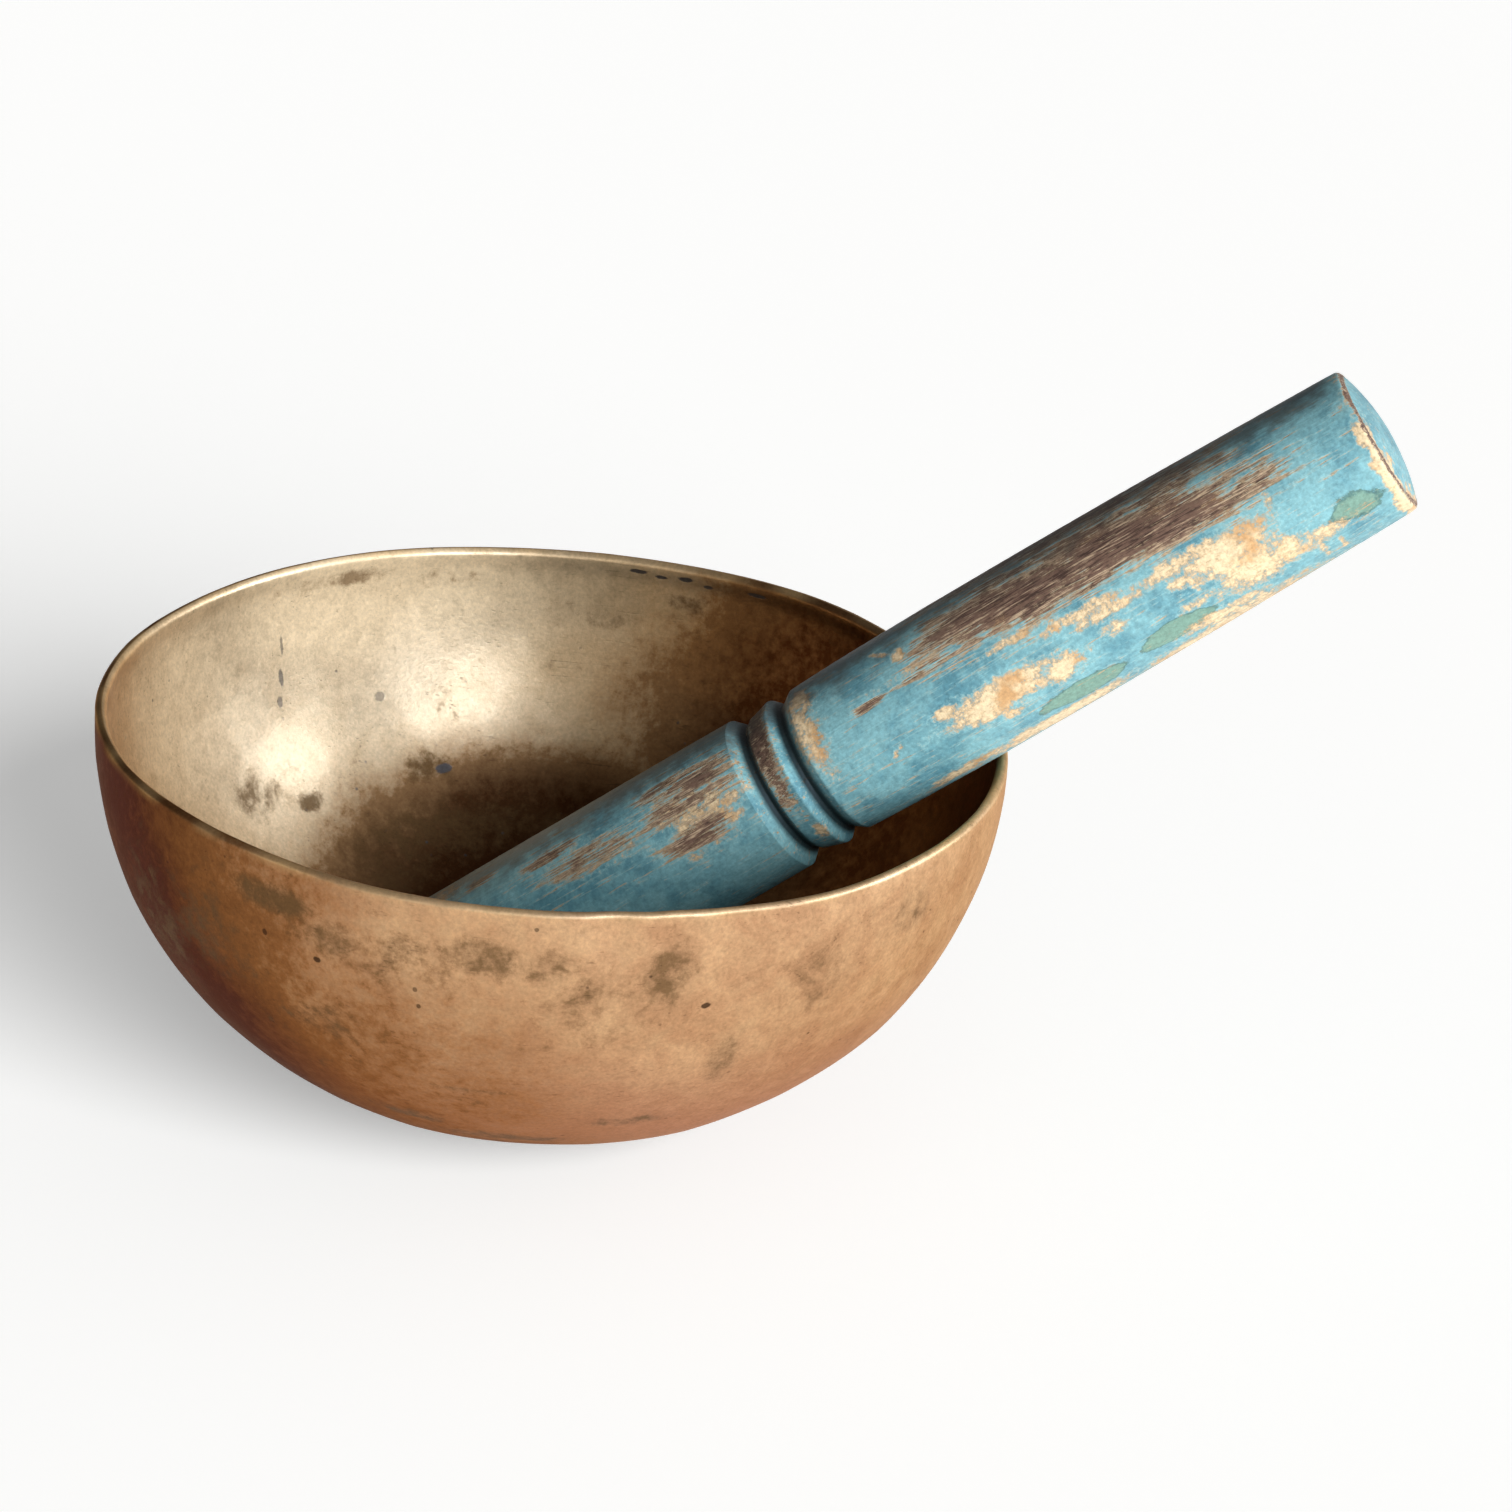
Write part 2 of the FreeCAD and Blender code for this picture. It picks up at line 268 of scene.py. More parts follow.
@dataclass(frozen=True)
class AgedBronze:
    """Hand-hammered bell bronze, rubbed bright by use and tarnished by age.

    The hammered wall gives soft, wavering reflections. The inside is a pale champagne gold, smoky in
    clouds, and the outside has gone orange-brown. Olive and dark brown tarnish sits in blotches under
    the lip, and the small dark flecks are casting pits. Brown painted shade darkens the outside's left
    side and the inside's right side and bottom. The outside is painted redder towards the foot as
    painted reflection, the upper back and left of the inside paler as painted light, and the lip
    paler, partly rubbed and partly as a painted highlight.
    """

    name: str = "aged_hammered_bronze"
    bright: str = "cea67c"
    warm: str = "ba8d67"
    # Ember is painted reflection, low on the outside.
    ember_reflection: str = "b4846c"
    # Brown and umber are painted shade on the outside.
    brown: str = "94623a"
    umber_shade: str = "4a2b14"
    gold: str = "dfc49c"
    smoke: str = "cbae86"
    # Inner tan and inner brown are painted shade on the inside.
    inner_tan_shade: str = "94704a"
    inner_brown_shade: str = "40220e"
    olive: str = "5c452a"
    fleck: str = "2b1b12"
    slate: str = "47484a"
    # Pale film: painted light inside.
    pale_film_light: str = "ecd6b2"
    # Lip gold: partly rubbed bronze, partly painted highlight.
    lip_rub_and_highlight: str = "dcb884"
    edge_tint: str = "c99f78"

    def flecks(self, tree: bpy.types.NodeTree, place: Socket, blotches: Socket, mottle: Socket,
               spots: list[tuple[Vector, Spot]]) -> Socket:
        """Scatter the casting pits and add the named flecks.

        Args:
            tree: The material's nodes.
            place: Position in the frame.
            blotches: Pattern that keeps pits where it is dark.
            mottle: Pattern that makes the named flecks uneven.
            spots: Named flecks, each with its place in metres.

        Returns:
            How strongly each point is flecked.
        """
        # Pits of about 0.5 mm, at most one to a 4 mm cell, kept where the blotches are dark.
        distance = add_node(tree, "ShaderNodeTexVoronoi", inputs={
            "Vector": place, "Scale": 1 / (4 * MM), "Randomness": 1.0,
        }, output="Distance")
        near = add_node(tree, RANGE, SMOOTH, {"Value": distance, "From Min": 0.12, "From Max": 0.04})
        chosen = add_node(tree, RANGE, inputs={
            "Value": blotches, "From Min": 0.52, "From Max": 0.6, "To Max": 0.7,
        })
        flecked = add_node(tree, MATH, TIMES, {0: near, 1: chosen})
        for centre, spot in spots:
            offset = add_node(tree, VECTOR, {"operation": "SUBTRACT"}, {0: place, 1: centre})
            across = 2 / (spot.width * MM)
            scaled = add_node(tree, VECTOR, TIMES, {
                0: offset, 1: (across, across, 2 / (spot.tall * MM)),
            })
            length = add_node(tree, VECTOR, {"operation": "LENGTH"}, {0: scaled}, "Value")
            uneven = add_node(tree, MATH, WEIGH, {0: mottle, 1: 1.6, 2: length})
            strength = add_node(tree, RANGE, SMOOTH, {
                "Value": uneven, "From Min": 2.1, "From Max": 1.6, "To Max": spot.tone,
            })
            flecked = add_node(tree, MATH, LARGER, {0: flecked, 1: strength})
        return flecked

    def scratches(self, tree: bpy.types.NodeTree, place: Socket) -> Socket:
        """Draw hairline scratches, 0.15 mm wide and some 12 mm long, in two directions.

        Args:
            tree: The material's nodes.
            place: Position in the frame.

        Returns:
            One on a scratch, zero beside it.
        """
        lines = []
        for turn, stretch in ((0.35, 0.012), (-0.6, 0.016)):
            drawn = add_node(tree, "ShaderNodeMapping", inputs={
                "Vector": place, "Rotation": (turn, turn * 0.7, turn * 2),
                "Scale": (stretch, 1.0, 1.0),
            })
            thread = add_node(tree, NOISE, inputs={
                "Vector": drawn, "Scale": 1 / (0.5 * MM), "Detail": 1.0, "Roughness": 0.4,
            })
            lines.append(add_node(tree, RANGE, inputs={
                "Value": thread, "From Min": 0.68, "From Max": 0.76,
            }))
        return add_node(tree, MATH, LARGER, {0: lines[1], 1: lines[0]})

    def build(self, spots: list[tuple[Vector, Spot]]) -> bpy.types.Material:
        """Make the material.

        Args:
            spots: Named flecks, each with its place in metres.

        Returns:
            The finished material.
        """
        material = bpy.data.materials.new(self.name)
        tree = empty_tree(material)
        place = add_node(tree, "ShaderNodeTexCoord", output="Object")
        inside, lip, olive, brown, pale = (
            add_node(tree, "ShaderNodeAttribute", {"attribute_name": name}, output="Fac")
            for name in ("inside", "lip", "olive", "brown", "pale")
        )
        # Clouds of colour about 30 mm across, blotches of about 8 mm, mottle of 2.5 mm, and grain.
        clouds, blotches, mottle, grain = (
            add_node(tree, NOISE, inputs={
                "Vector": place, "Scale": 1 / (size * MM), "Detail": detail, "Roughness": rough,
                "Distortion": bend,
            })
            for size, detail, rough, bend in (
                (30, 4.0, 0.6, 0.0), (8, 6.0, 0.65, 0.5), (2.5, 5.0, 0.7, 0.0), (0.7, 3.0, 0.6, 0.0),
            )
        )

        # Brown painted shade, its edge wandering with the clouds and the mottle.
        cloudy = add_node(tree, MATH, ADD, {0: clouds, 1: mottle})
        wander = add_node(tree, RANGE, inputs={
            "Value": cloudy, "From Min": 0.6, "From Max": 1.4, "To Min": -0.28, "To Max": 0.28,
        })
        hold = add_node(tree, RANGE, inputs={"Value": brown, "From Max": 0.25})
        browned = add_node(tree, MATH, WEIGH, {0: wander, 1: hold, 2: brown})
        half = add_node(tree, RANGE, inputs={"Value": browned, "From Max": 0.5})
        full = add_node(tree, RANGE, inputs={
            "Value": browned, "From Min": 0.35, "From Max": 0.95,
        })

        # Outside: warm bronze, redder towards the foot as painted reflection, umber as painted shade
        # over the left side.
        # Inside: champagne gold, smoky in clouds, dark brown as painted shade over the right side and
        # the bottom.
        # Painted reflection: the outside turns redder and darker towards the foot, as the reflection
        # of a dark surface under the bowl.
        above = add_node(tree, "ShaderNodeSeparateXYZ", inputs={0: place}, output="Z")
        low = add_node(tree, RANGE, SMOOTH, {
            "Value": above, "From Min": 52 * MM, "From Max": 14 * MM,
        })
        mixed = add_node(tree, MATH, ADD, {0: clouds, 1: blotches})
        patchy = add_node(tree, RANGE, SMOOTH, {"Value": mixed, "From Min": 0.7, "From Max": 1.3})
        outer = linear(self.bright)
        for share, hue in ((patchy, self.warm), (low, self.ember_reflection), (half, self.brown),
                           (full, self.umber_shade)):
            outer = add_node(tree, MIX, COLOURS, {
                FACTOR: share, FIRST: outer, SECOND: linear(hue),
            }, MIXED)
        inner = linear(self.gold)
        for share, hue in ((patchy, self.smoke), (half, self.inner_tan_shade), (full, self.inner_brown_shade)):
            inner = add_node(tree, MIX, COLOURS, {
                FACTOR: share, FIRST: inner, SECOND: linear(hue),
            }, MIXED)
        base = add_node(tree, MIX, COLOURS, {FACTOR: inside, FIRST: outer, SECOND: inner}, MIXED)

        # Pale film, which scatters more light than the rest, painted paler as painted light on the
        # upper back and left of the inside. Over it tarnish: the stained places, broken up into fine
        # smudges.
        film = add_node(tree, MATH, TIMES, {0: pale, 1: 0.75})
        ragged = olive
        for pattern, weight in ((blotches, 1.7), (mottle, 2.0)):
            ragged = add_node(tree, MATH, WEIGH, {0: pattern, 1: weight, 2: ragged})
        tarnish = add_node(tree, RANGE, SMOOTH, {
            "Value": ragged, "From Min": 1.98, "From Max": 2.9, "To Max": 0.85,
        })
        for share, hue in ((film, self.pale_film_light), (tarnish, self.olive)):
            base = add_node(tree, MIX, COLOURS, {
                FACTOR: share, FIRST: base, SECOND: linear(hue),
            }, MIXED)

        # Flecks, the lip painted paler (partly rubbed bright, partly a painted highlight along the
        # crown), and a fine mottle of light and dark.
        flecks = self.flecks(tree, place, blotches, mottle, spots)
        dark = add_node(tree, MIX, COLOURS, {
            FACTOR: inside, FIRST: linear(self.fleck), SECOND: linear(self.slate),
        }, MIXED)
        for share, colour in ((flecks, dark), (lip, linear(self.lip_rub_and_highlight))):
            base = add_node(tree, MIX, COLOURS, {FACTOR: share, FIRST: base, SECOND: colour}, MIXED)
        shades = add_node(tree, MATH, ADD, {0: mottle, 1: grain})
        speckle = add_node(tree, RANGE, inputs={
            "Value": shades, "From Min": 0.6, "From Max": 1.4, "To Min": 0.74, "To Max": 1.26,
        })
        colour = add_node(tree, VECTOR, {"operation": "SCALE"}, {0: base, "Scale": speckle})
        scratches = self.scratches(tree, place)
        worked = add_node(tree, RANGE, inputs={
            "Value": blotches, "From Min": 0.48, "From Max": 0.62, "To Max": 0.4,
        })
        faint = add_node(tree, MATH, TIMES, {0: scratches, 1: worked})
        colour = add_node(tree, MIX, COLOURS, {
            FACTOR: faint, FIRST: colour, SECOND: linear(self.fleck),
        }, MIXED)

        # Gloss: the rubbed inside is smoother, tarnish is duller.
        rough = add_node(tree, RANGE, inputs={"Value": inside, "To Min": 0.48, "To Max": 0.34})
        rough = add_node(tree, MATH, WEIGH, {0: tarnish, 1: 0.12, 2: rough})
        varied = add_node(tree, RANGE, inputs={
            "Value": mottle, "From Min": 0.3, "From Max": 0.7, "To Min": -0.04, "To Max": 0.05,
        })
        rough = add_node(tree, MATH, ADD | CLAMPED, {0: rough, 1: varied})
        # The film of age on the metal scatters light: only part of it mirrors like clean bronze.
        metal = add_node(tree, RANGE, inputs={"Value": inside, "To Min": 0.82, "To Max": 0.76})
        for cover, weight in ((tarnish, -0.3), (film, -0.5)):
            metal = add_node(tree, MATH, WEIGH | CLAMPED, {0: cover, 1: weight, 2: metal})

        # Relief: the fine skin of the hammered metal, pits and scratches.
        height = grain
        for pattern, weight in ((mottle, 1.2), (flecks, -1.2), (scratches, -0.35)):
            height = add_node(tree, MATH, WEIGH, {0: pattern, 1: weight, 2: height})
        relief = add_node(tree, "ShaderNodeBump", inputs={
            "Strength": 0.5, "Distance": 0.05 * MM, "Height": height,
        })
        shader = add_node(tree, "ShaderNodeBsdfPrincipled", inputs={
            "Base Color": colour, "Metallic": metal, "Roughness": rough, "Normal": relief,
            "Specular Tint": linear(self.edge_tint),
        })
        add_node(tree, "ShaderNodeOutputMaterial", inputs={"Surface": shader})
        return material


@dataclass(frozen=True)
class WornPaint:
    """Chalky turquoise paint over a cream undercoat on dark turned wood, worn by handling.

    The paint is flat and cloudy with small scuffs. Where it has worn, the undercoat shows as ragged
    cream with an orange-brown edge, and under that the wood shows in brown, grey and beige streaks
    that follow its grain. Old green stains lie on the lower side. Painted shade darkens the upper side
    in streaks and the groove bottoms to near black.
    """

    name: str = "worn_chalk_paint_on_turned_wood"
    paint: str = "7aabb3"
    deep_paint: str = "528593"
    pale_paint: str = "9cc6c6"
    undercoat: str = "d9c5a1"
    undercoat_edge: str = "bf9667"
    wood: str = "735a4c"
    wood_dark: str = "44322b"
    wood_pale: str = "bba488"
    green: str = "76998a"
    green_rim: str = "47695f"
    # Groove shade: near-black painted shade in the groove bottoms.
    groove_shade: str = "0d1416"
    # Upper shade: painted shade on the upper side.
    upper_shade: str = "423c38"

    def build(self, to_mallet: Matrix) -> bpy.types.Material:
        """Make the material.

        Args:
            to_mallet: Turn and shift from the frame to the mallet's own axes.

        Returns:
            The finished material.
        """
        material = bpy.data.materials.new(self.name)
        tree = empty_tree(material)
        own = add_node(tree, "ShaderNodeMapping", inputs={
            "Vector": add_node(tree, "ShaderNodeTexCoord", output="Object"),
            "Location": to_mallet.to_translation(),
            "Rotation": to_mallet.to_euler(),
        })
        # Grain runs along the mallet's axis, so its pattern is drawn out along it.
        along = add_node(tree, VECTOR, TIMES, {0: own, 1: (1.0, 1.0, 0.07)})
        wood, undercoat, green, groove, upper_shade = (
            add_node(tree, "ShaderNodeAttribute", {"attribute_name": name}, output="Fac")
            for name in ("wood", "undercoat", "green", "groove", "upper_shade")
        )
        # Sizes in millimetres, across the grain where the pattern is drawn out.
        streaks, fibres, crumbs, clouds, scuffs = (
            add_node(tree, NOISE, inputs={
                "Vector": place, "Scale": 1 / (size * MM), "Detail": detail, "Roughness": rough,
                "Distortion": bend,
            })
            for place, size, detail, rough, bend in (
                (along, 1.0, 5.0, 0.7, 0.0), (along, 0.4, 3.0, 0.6, 0.0), (own, 2.2, 8.0, 0.75, 0.3),
                (own, 10, 5.0, 0.65, 0.0), (own, 0.8, 5.0, 0.7, 0.0),
            )
        )

        # How far each layer has gone: its mask, moved up and down by streaks and crumbs.
        wood_edge, cream_edge = wood, undercoat
        for pattern, weight in ((streaks, 1.7), (crumbs, 0.9), (fibres, 1.6)):
            wood_edge = add_node(tree, MATH, WEIGH, {0: pattern, 1: weight, 2: wood_edge})
        for pattern, weight in ((crumbs, 1.7), (fibres, 0.5), (scuffs, 0.7)):
            cream_edge = add_node(tree, MATH, WEIGH, {0: pattern, 1: weight, 2: cream_edge})
        near_wood = add_node(tree, MATH, ADD, {0: wood_edge, 1: -0.42})
        cream_edge = add_node(tree, MATH, LARGER, {0: cream_edge, 1: near_wood})
        # Green stains dried with a crisp edge and a darker rim.
        dried = add_node(tree, MATH, WEIGH, {0: crumbs, 1: 0.5, 2: green})
        dusty = add_node(tree, MATH, ADD, {0: streaks, 1: fibres})
        # Painted shade on the upper side, broken into streaks along the grain.
        upper_shade_streaks = add_node(tree, MATH, WEIGH, {0: fibres, 1: 0.8, 2: upper_shade})
        bare, cream, cloudy, rubbed, rim, heart, solid, freckles, pores, dusty, upper_shade_streaks = (
            add_node(tree, RANGE, SMOOTH, {
                "Value": pattern, "From Min": start, "From Max": full, "To Max": most,
            })
            for pattern, start, full, most in (
                (wood_edge, 2.48, 2.78, 1.0), (cream_edge, 1.88, 2.24, 1.0),
                (clouds, 0.32, 0.62, 1.0), (cream_edge, 1.72, 2.05, 0.5),
                (dried, 0.50, 0.56, 0.8), (dried, 0.56, 0.64, 0.85),
                (cream_edge, 1.98, 2.40, 1.0), (clouds, 0.66, 0.50, 1.0),
                (fibres, 0.40, 0.52, 1.0), (dusty, 1.07, 1.20, 1.0), (upper_shade_streaks, 0.5, 1.3, 0.75),
            )
        )

        # Paint: cloudy blue with small scuffs, stained green in places.
        blue = linear(self.deep_paint)
        for share, hue in ((cloudy, self.paint), (rubbed, self.pale_paint), (rim, self.green_rim),
                           (heart, self.green)):
            blue = add_node(tree, MIX, COLOURS, {
                FACTOR: share, FIRST: blue, SECOND: linear(hue),
            }, MIXED)
        # Undercoat: cream, orange-brown where it thins out at its edge and in freckles.
        solid = add_node(tree, MATH, TIMES, {0: solid, 1: freckles})
        pale = add_node(tree, MIX, COLOURS, {
            FACTOR: solid, FIRST: linear(self.undercoat_edge), SECOND: linear(self.undercoat),
        }, MIXED)
        # Wood: dark pores, brown body and pale dusty fibres along the grain.
        brown = linear(self.wood_dark)
        for share, hue in ((pores, self.wood), (dusty, self.wood_pale)):
            brown = add_node(tree, MIX, COLOURS, {
                FACTOR: share, FIRST: brown, SECOND: linear(hue),
            }, MIXED)
        colour = blue
        for share, coat in ((cream, pale), (bare, brown)):
            colour = add_node(tree, MIX, COLOURS, {FACTOR: share, FIRST: colour, SECOND: coat}, MIXED)
        specks = add_node(tree, RANGE, inputs={
            "Value": scuffs, "From Min": 0.25, "From Max": 0.75, "To Min": 0.66, "To Max": 1.3,
        })
        colour = add_node(tree, VECTOR, {"operation": "SCALE"}, {0: colour, "Scale": specks})
        # Painted shade: the upper side darkened in streaks along the grain, and the groove bottoms
        # near black.
        for share, hue in ((upper_shade_streaks, self.upper_shade), (groove, self.groove_shade)):
            colour = add_node(tree, MIX, COLOURS, {
                FACTOR: share, FIRST: colour, SECOND: linear(hue),
            }, MIXED)

        rough = add_node(tree, RANGE, inputs={"Value": bare, "To Min": 0.52, "To Max": 0.72})
        # Relief: the paint stands proud of the undercoat, and that of the streaky wood.
        worn = add_node(tree, MATH, ADD, {0: cream, 1: bare})
        height = fibres
        for pattern, weight in ((worn, -0.9), (scuffs, 0.6)):
            height = add_node(tree, MATH, WEIGH, {0: pattern, 1: weight, 2: height})
        relief = add_node(tree, "ShaderNodeBump", inputs={
            "Strength": 0.8, "Distance": 0.10 * MM, "Height": height,
        })
        shader = add_node(tree, "ShaderNodeBsdfPrincipled", inputs={
            "Base Color": colour, "Roughness": rough, "Normal": relief,
        })
        add_node(tree, "ShaderNodeOutputMaterial", inputs={"Surface": shader})
        return material


@dataclass(frozen=True)
class StudioFloor:
    """Matt white painted board: a plain pale ground that takes soft shadows."""

    name: str = "matt_white_board"
    white: str = "f6f6f5"
    glow: float = 0.34

    def build(self) -> bpy.types.Material:
        """Make the material."""
        material = bpy.data.materials.new(self.name)
        tree = empty_tree(material)
        shader = add_node(tree, "ShaderNodeBsdfPrincipled", inputs={
            "Base Color": linear(self.white), "Roughness": 1.0, "Specular IOR Level": 0.0,
            "Emission Color": linear(self.white), "Emission Strength": self.glow,
        })
        add_node(tree, "ShaderNodeOutputMaterial", inputs={"Surface": shader})
        return material


# --- Bowl ---


@dataclass(frozen=True)
class Press:
    """A place where the wall was knocked in or the lip stands high or low.

    Azimuths are degrees from +X, anticlockwise seen from above.
    """

    azimuth: float
    height: float
    spread: float
    tall: float
    push: float = 0.0
    rise: float = 0.0


class TarnishOrPaintedLight(Enum):
    """Kind of colouring on the bronze: olive tarnish, brown painted shade and pale painted light."""

    OLIVE = "olive"
    BROWN = "brown"
    PAINTED_LIGHT = "pale"


@dataclass(frozen=True)
class StainOrPaintedLight:
    """A coloured place, each of one kind (olive tarnish, brown painted shade, pale painted light):
    kind, azimuth, height, size across and upwards, and depth of tone.
    """

    kind: TarnishOrPaintedLight
    azimuth: float
    height: float
    across: float
    tall: float
    tone: float
    inside: bool = False


OLIVE, BROWN, PAINTED_LIGHT = TarnishOrPaintedLight.OLIVE, TarnishOrPaintedLight.BROWN, TarnishOrPaintedLight.PAINTED_LIGHT


@dataclass
class Bowl:
    """The bowl: one sheet of hammered bronze with a thickened lip."""

    rim_radius: float = 84.0
    height: float = 73.6
    foot_radius: float = 20.0
    foot_margin: float = 1.0
    base_arc: float = 130.0
    wall_arc: float = 70.25
    wall: float = 1.8
    floor: float = 2.0
    lip: float = 2.5
    lip_wear: float = 0.4
    lip_depth: float = 1.5
    lip_ledge: float = 3.0
    lip_round: float = 1.0
    lip_bulge: float = 1.2
    step: float = 1.15
    turns: int = 460
    sway: float = 0.28
    sway_size: float = 26.0
    facet: float = 0.22
    facet_size: float = 13.0
    presses: tuple[Press, ...] = (
        Press(35, 73, 34, 40, rise=-1.4),
        Press(128, 73, 50, 40, rise=0.7),
        Press(-130, 73, 40, 40, rise=1.0),
        Press(-48, 73, 34, 40, rise=-0.7),
        Press(-77, 70, 7, 9, push=0.7),
        Press(-70, 68, 6, 8, push=0.5),
        Press(-84, 66, 9, 10, push=-0.3),
        Press(-62, 63, 9, 14, push=0.4),
    )
    stains: tuple[StainOrPaintedLight, ...] = (
        # Outside, from left to right round the front, then the back.
        # The first two brown entries are painted shade: the broad one over the whole left side, the
        # other low on the front-left.
        StainOrPaintedLight(BROWN, -176, 40, 196, 400, 1.0),
        StainOrPaintedLight(BROWN, -114, 34, 92, 90, 0.36),
        StainOrPaintedLight(OLIVE, -118, 66, 18, 7, 0.95),
        StainOrPaintedLight(OLIVE, -111, 62, 16, 9, 0.6),
        StainOrPaintedLight(OLIVE, -130, 54, 26, 20, 0.5),
        StainOrPaintedLight(OLIVE, -92, 64, 20, 9, 0.62),
        StainOrPaintedLight(OLIVE, -84, 63, 12, 9, 0.5),
        StainOrPaintedLight(OLIVE, -70, 62, 12, 14, 0.7),
        StainOrPaintedLight(OLIVE, -61, 42, 8, 14, 0.62),
        StainOrPaintedLight(OLIVE, -36, 64, 12, 12, 0.6),
        StainOrPaintedLight(OLIVE, -100, 61, 30, 14, 0.4),
        StainOrPaintedLight(OLIVE, -78, 55, 26, 18, 0.42),
        StainOrPaintedLight(OLIVE, -142, 47, 26, 26, 0.5),
        StainOrPaintedLight(OLIVE, -50, 56, 20, 20, 0.36),
        StainOrPaintedLight(OLIVE, -112, 44, 20, 12, 0.36),
        StainOrPaintedLight(OLIVE, -104, 21, 14, 4, 0.7),
        StainOrPaintedLight(OLIVE, -90, 16, 26, 5, 0.7),
        StainOrPaintedLight(OLIVE, -71, 25, 18, 4, 0.6),
        StainOrPaintedLight(OLIVE, -95, 33, 22, 1.6, 0.6),
        StainOrPaintedLight(OLIVE, 40, 62, 40, 14, 0.6),
        StainOrPaintedLight(OLIVE, 95, 50, 40, 24, 0.45),
        StainOrPaintedLight(OLIVE, 160, 64, 30, 10, 0.6),
        StainOrPaintedLight(BROWN, 110, 30, 90, 50, 0.5),
        # Inside. The brown entries are painted shade over the right side and the bottom; the pale ones
        # are painted light on the upper back and left wall.
        StainOrPaintedLight(BROWN, 45, 46, 112, 90, 0.95, True),
        StainOrPaintedLight(BROWN, 92, 16, 130, 40, 0.95, True),
        StainOrPaintedLight(BROWN, 5, 40, 90, 80, 0.8, True),
        StainOrPaintedLight(BROWN, -60, 24, 110, 60, 0.7, True),
        StainOrPaintedLight(PAINTED_LIGHT, 122, 64, 84, 34, 0.95, True),
        StainOrPaintedLight(PAINTED_LIGHT, 158, 52, 44, 44, 0.6, True),
        StainOrPaintedLight(OLIVE, 150, 33, 14, 10, 0.75, True),
        StainOrPaintedLight(OLIVE, 139, 29, 8, 4, 0.85, True),
        StainOrPaintedLight(OLIVE, 116, 31, 12, 6, 0.85, True),
        StainOrPaintedLight(OLIVE, 128, 69, 30, 4, 0.7, True),
        StainOrPaintedLight(OLIVE, 112, 67, 22, 5, 0.6, True),
        StainOrPaintedLight(OLIVE, 92, 60, 26, 7, 0.55, True),
        StainOrPaintedLight(OLIVE, 76, 66, 14, 5, 0.7, True),
        StainOrPaintedLight(OLIVE, 112, 21, 60, 12, 0.62, True),
        StainOrPaintedLight(OLIVE, 132, 16, 30, 10, 0.6, True),
    )
    spots: tuple[Spot, ...] = (
        Spot(-112.3, 57.3, 1.3, 1.2, tone=0.85),
        Spot(-119.6, 59.3, 1.0, 1.2, tone=0.7),
        Spot(-99.4, 52.6, 0.8, 0.9, tone=0.7),
        Spot(-99.8, 56.0, 0.7, 0.8, tone=0.6),
        Spot(-65.2, 54.6, 1.5, 1.1, tone=0.85),
        Spot(-86.0, 70.5, 0.7, 0.7, tone=0.6),
        Spot(138.0, 58.0, 0.7, 7.0, True, 0.6),
        Spot(138.7, 52.0, 1.1, 6.0, True, 0.7),
        Spot(139.6, 47.6, 1.3, 2.2, True, 0.6),
        Spot(113.3, 30.6, 3.0, 1.8, True, 0.9),
        Spot(122.5, 44.6, 2.0, 1.7, True, 0.45),
        Spot(84.0, 71.0, 3.6, 0.9, True, 0.9),
        Spot(80.5, 70.4, 2.4, 0.8, True, 0.9),
        Spot(77.0, 70.8, 3.0, 1.0, True, 0.9),
        Spot(73.5, 70.0, 2.0, 0.8, True, 0.8),
        Spot(66.0, 70.6, 4.0, 0.8, True, 0.8),
    )

    def base_centre(self) -> tuple[float, float]:
        """Centre of the base curve, on the axis."""
        return 0.0, math.sqrt(self.base_arc**2 - self.foot_radius**2)

    def wall_centre(self) -> tuple[float, float]:
        """Centre of the wall's curve: through the rim and tangent to the base curve."""
        centre_z = self.base_centre()[1]
        reach = self.base_arc - self.wall_arc
        drop = self.height - centre_z
        span = math.hypot(self.rim_radius, drop)
        along = (reach**2 - self.wall_arc**2 + span**2) / (2 * span)
        aside = math.sqrt(reach**2 - along**2)
        return (
            (along * self.rim_radius + aside * drop) / span,
            centre_z + (along * drop - aside * self.rim_radius) / span,
        )

    def turning_point(self, radius: float) -> tuple[float, float]:
        """Point where a wall curve of this radius meets its base curve."""
        wall, base = Vector(self.wall_centre()), Vector(self.base_centre())
        return tuple(wall + (wall - base).normalized() * radius)

    def wall_point(self, azimuth: float, height: float, inside: bool) -> Vector:
        """Point on the wall's inner or outer face, in metres.

        Args:
            azimuth: Degrees from +X.
            height: Height over the foot.
            inside: Whether it lies on the inner face.

        Returns:
            The point.
        """
        radius = self.wall_arc - (self.wall if inside else 0.0)
        centre = self.wall_centre()
        reach = centre[0] + math.sqrt(max(0.0, radius**2 - (height - centre[1]) ** 2))
        angle = math.radians(azimuth)
        return Vector((reach * math.cos(angle), reach * math.sin(angle), height)) * MM

    def outline(self) -> Outline:
        """Half section from the underside's centre, up the outside and down the inside."""
        base, wall = self.base_centre(), self.wall_centre()
        inner_wall = self.wall_arc - self.wall
        shoulder_z = self.height - self.lip_round
        reach = wall[0] + math.sqrt(self.wall_arc**2 - (shoulder_z - wall[1]) ** 2)
        crown = (reach - self.lip_round, self.height)
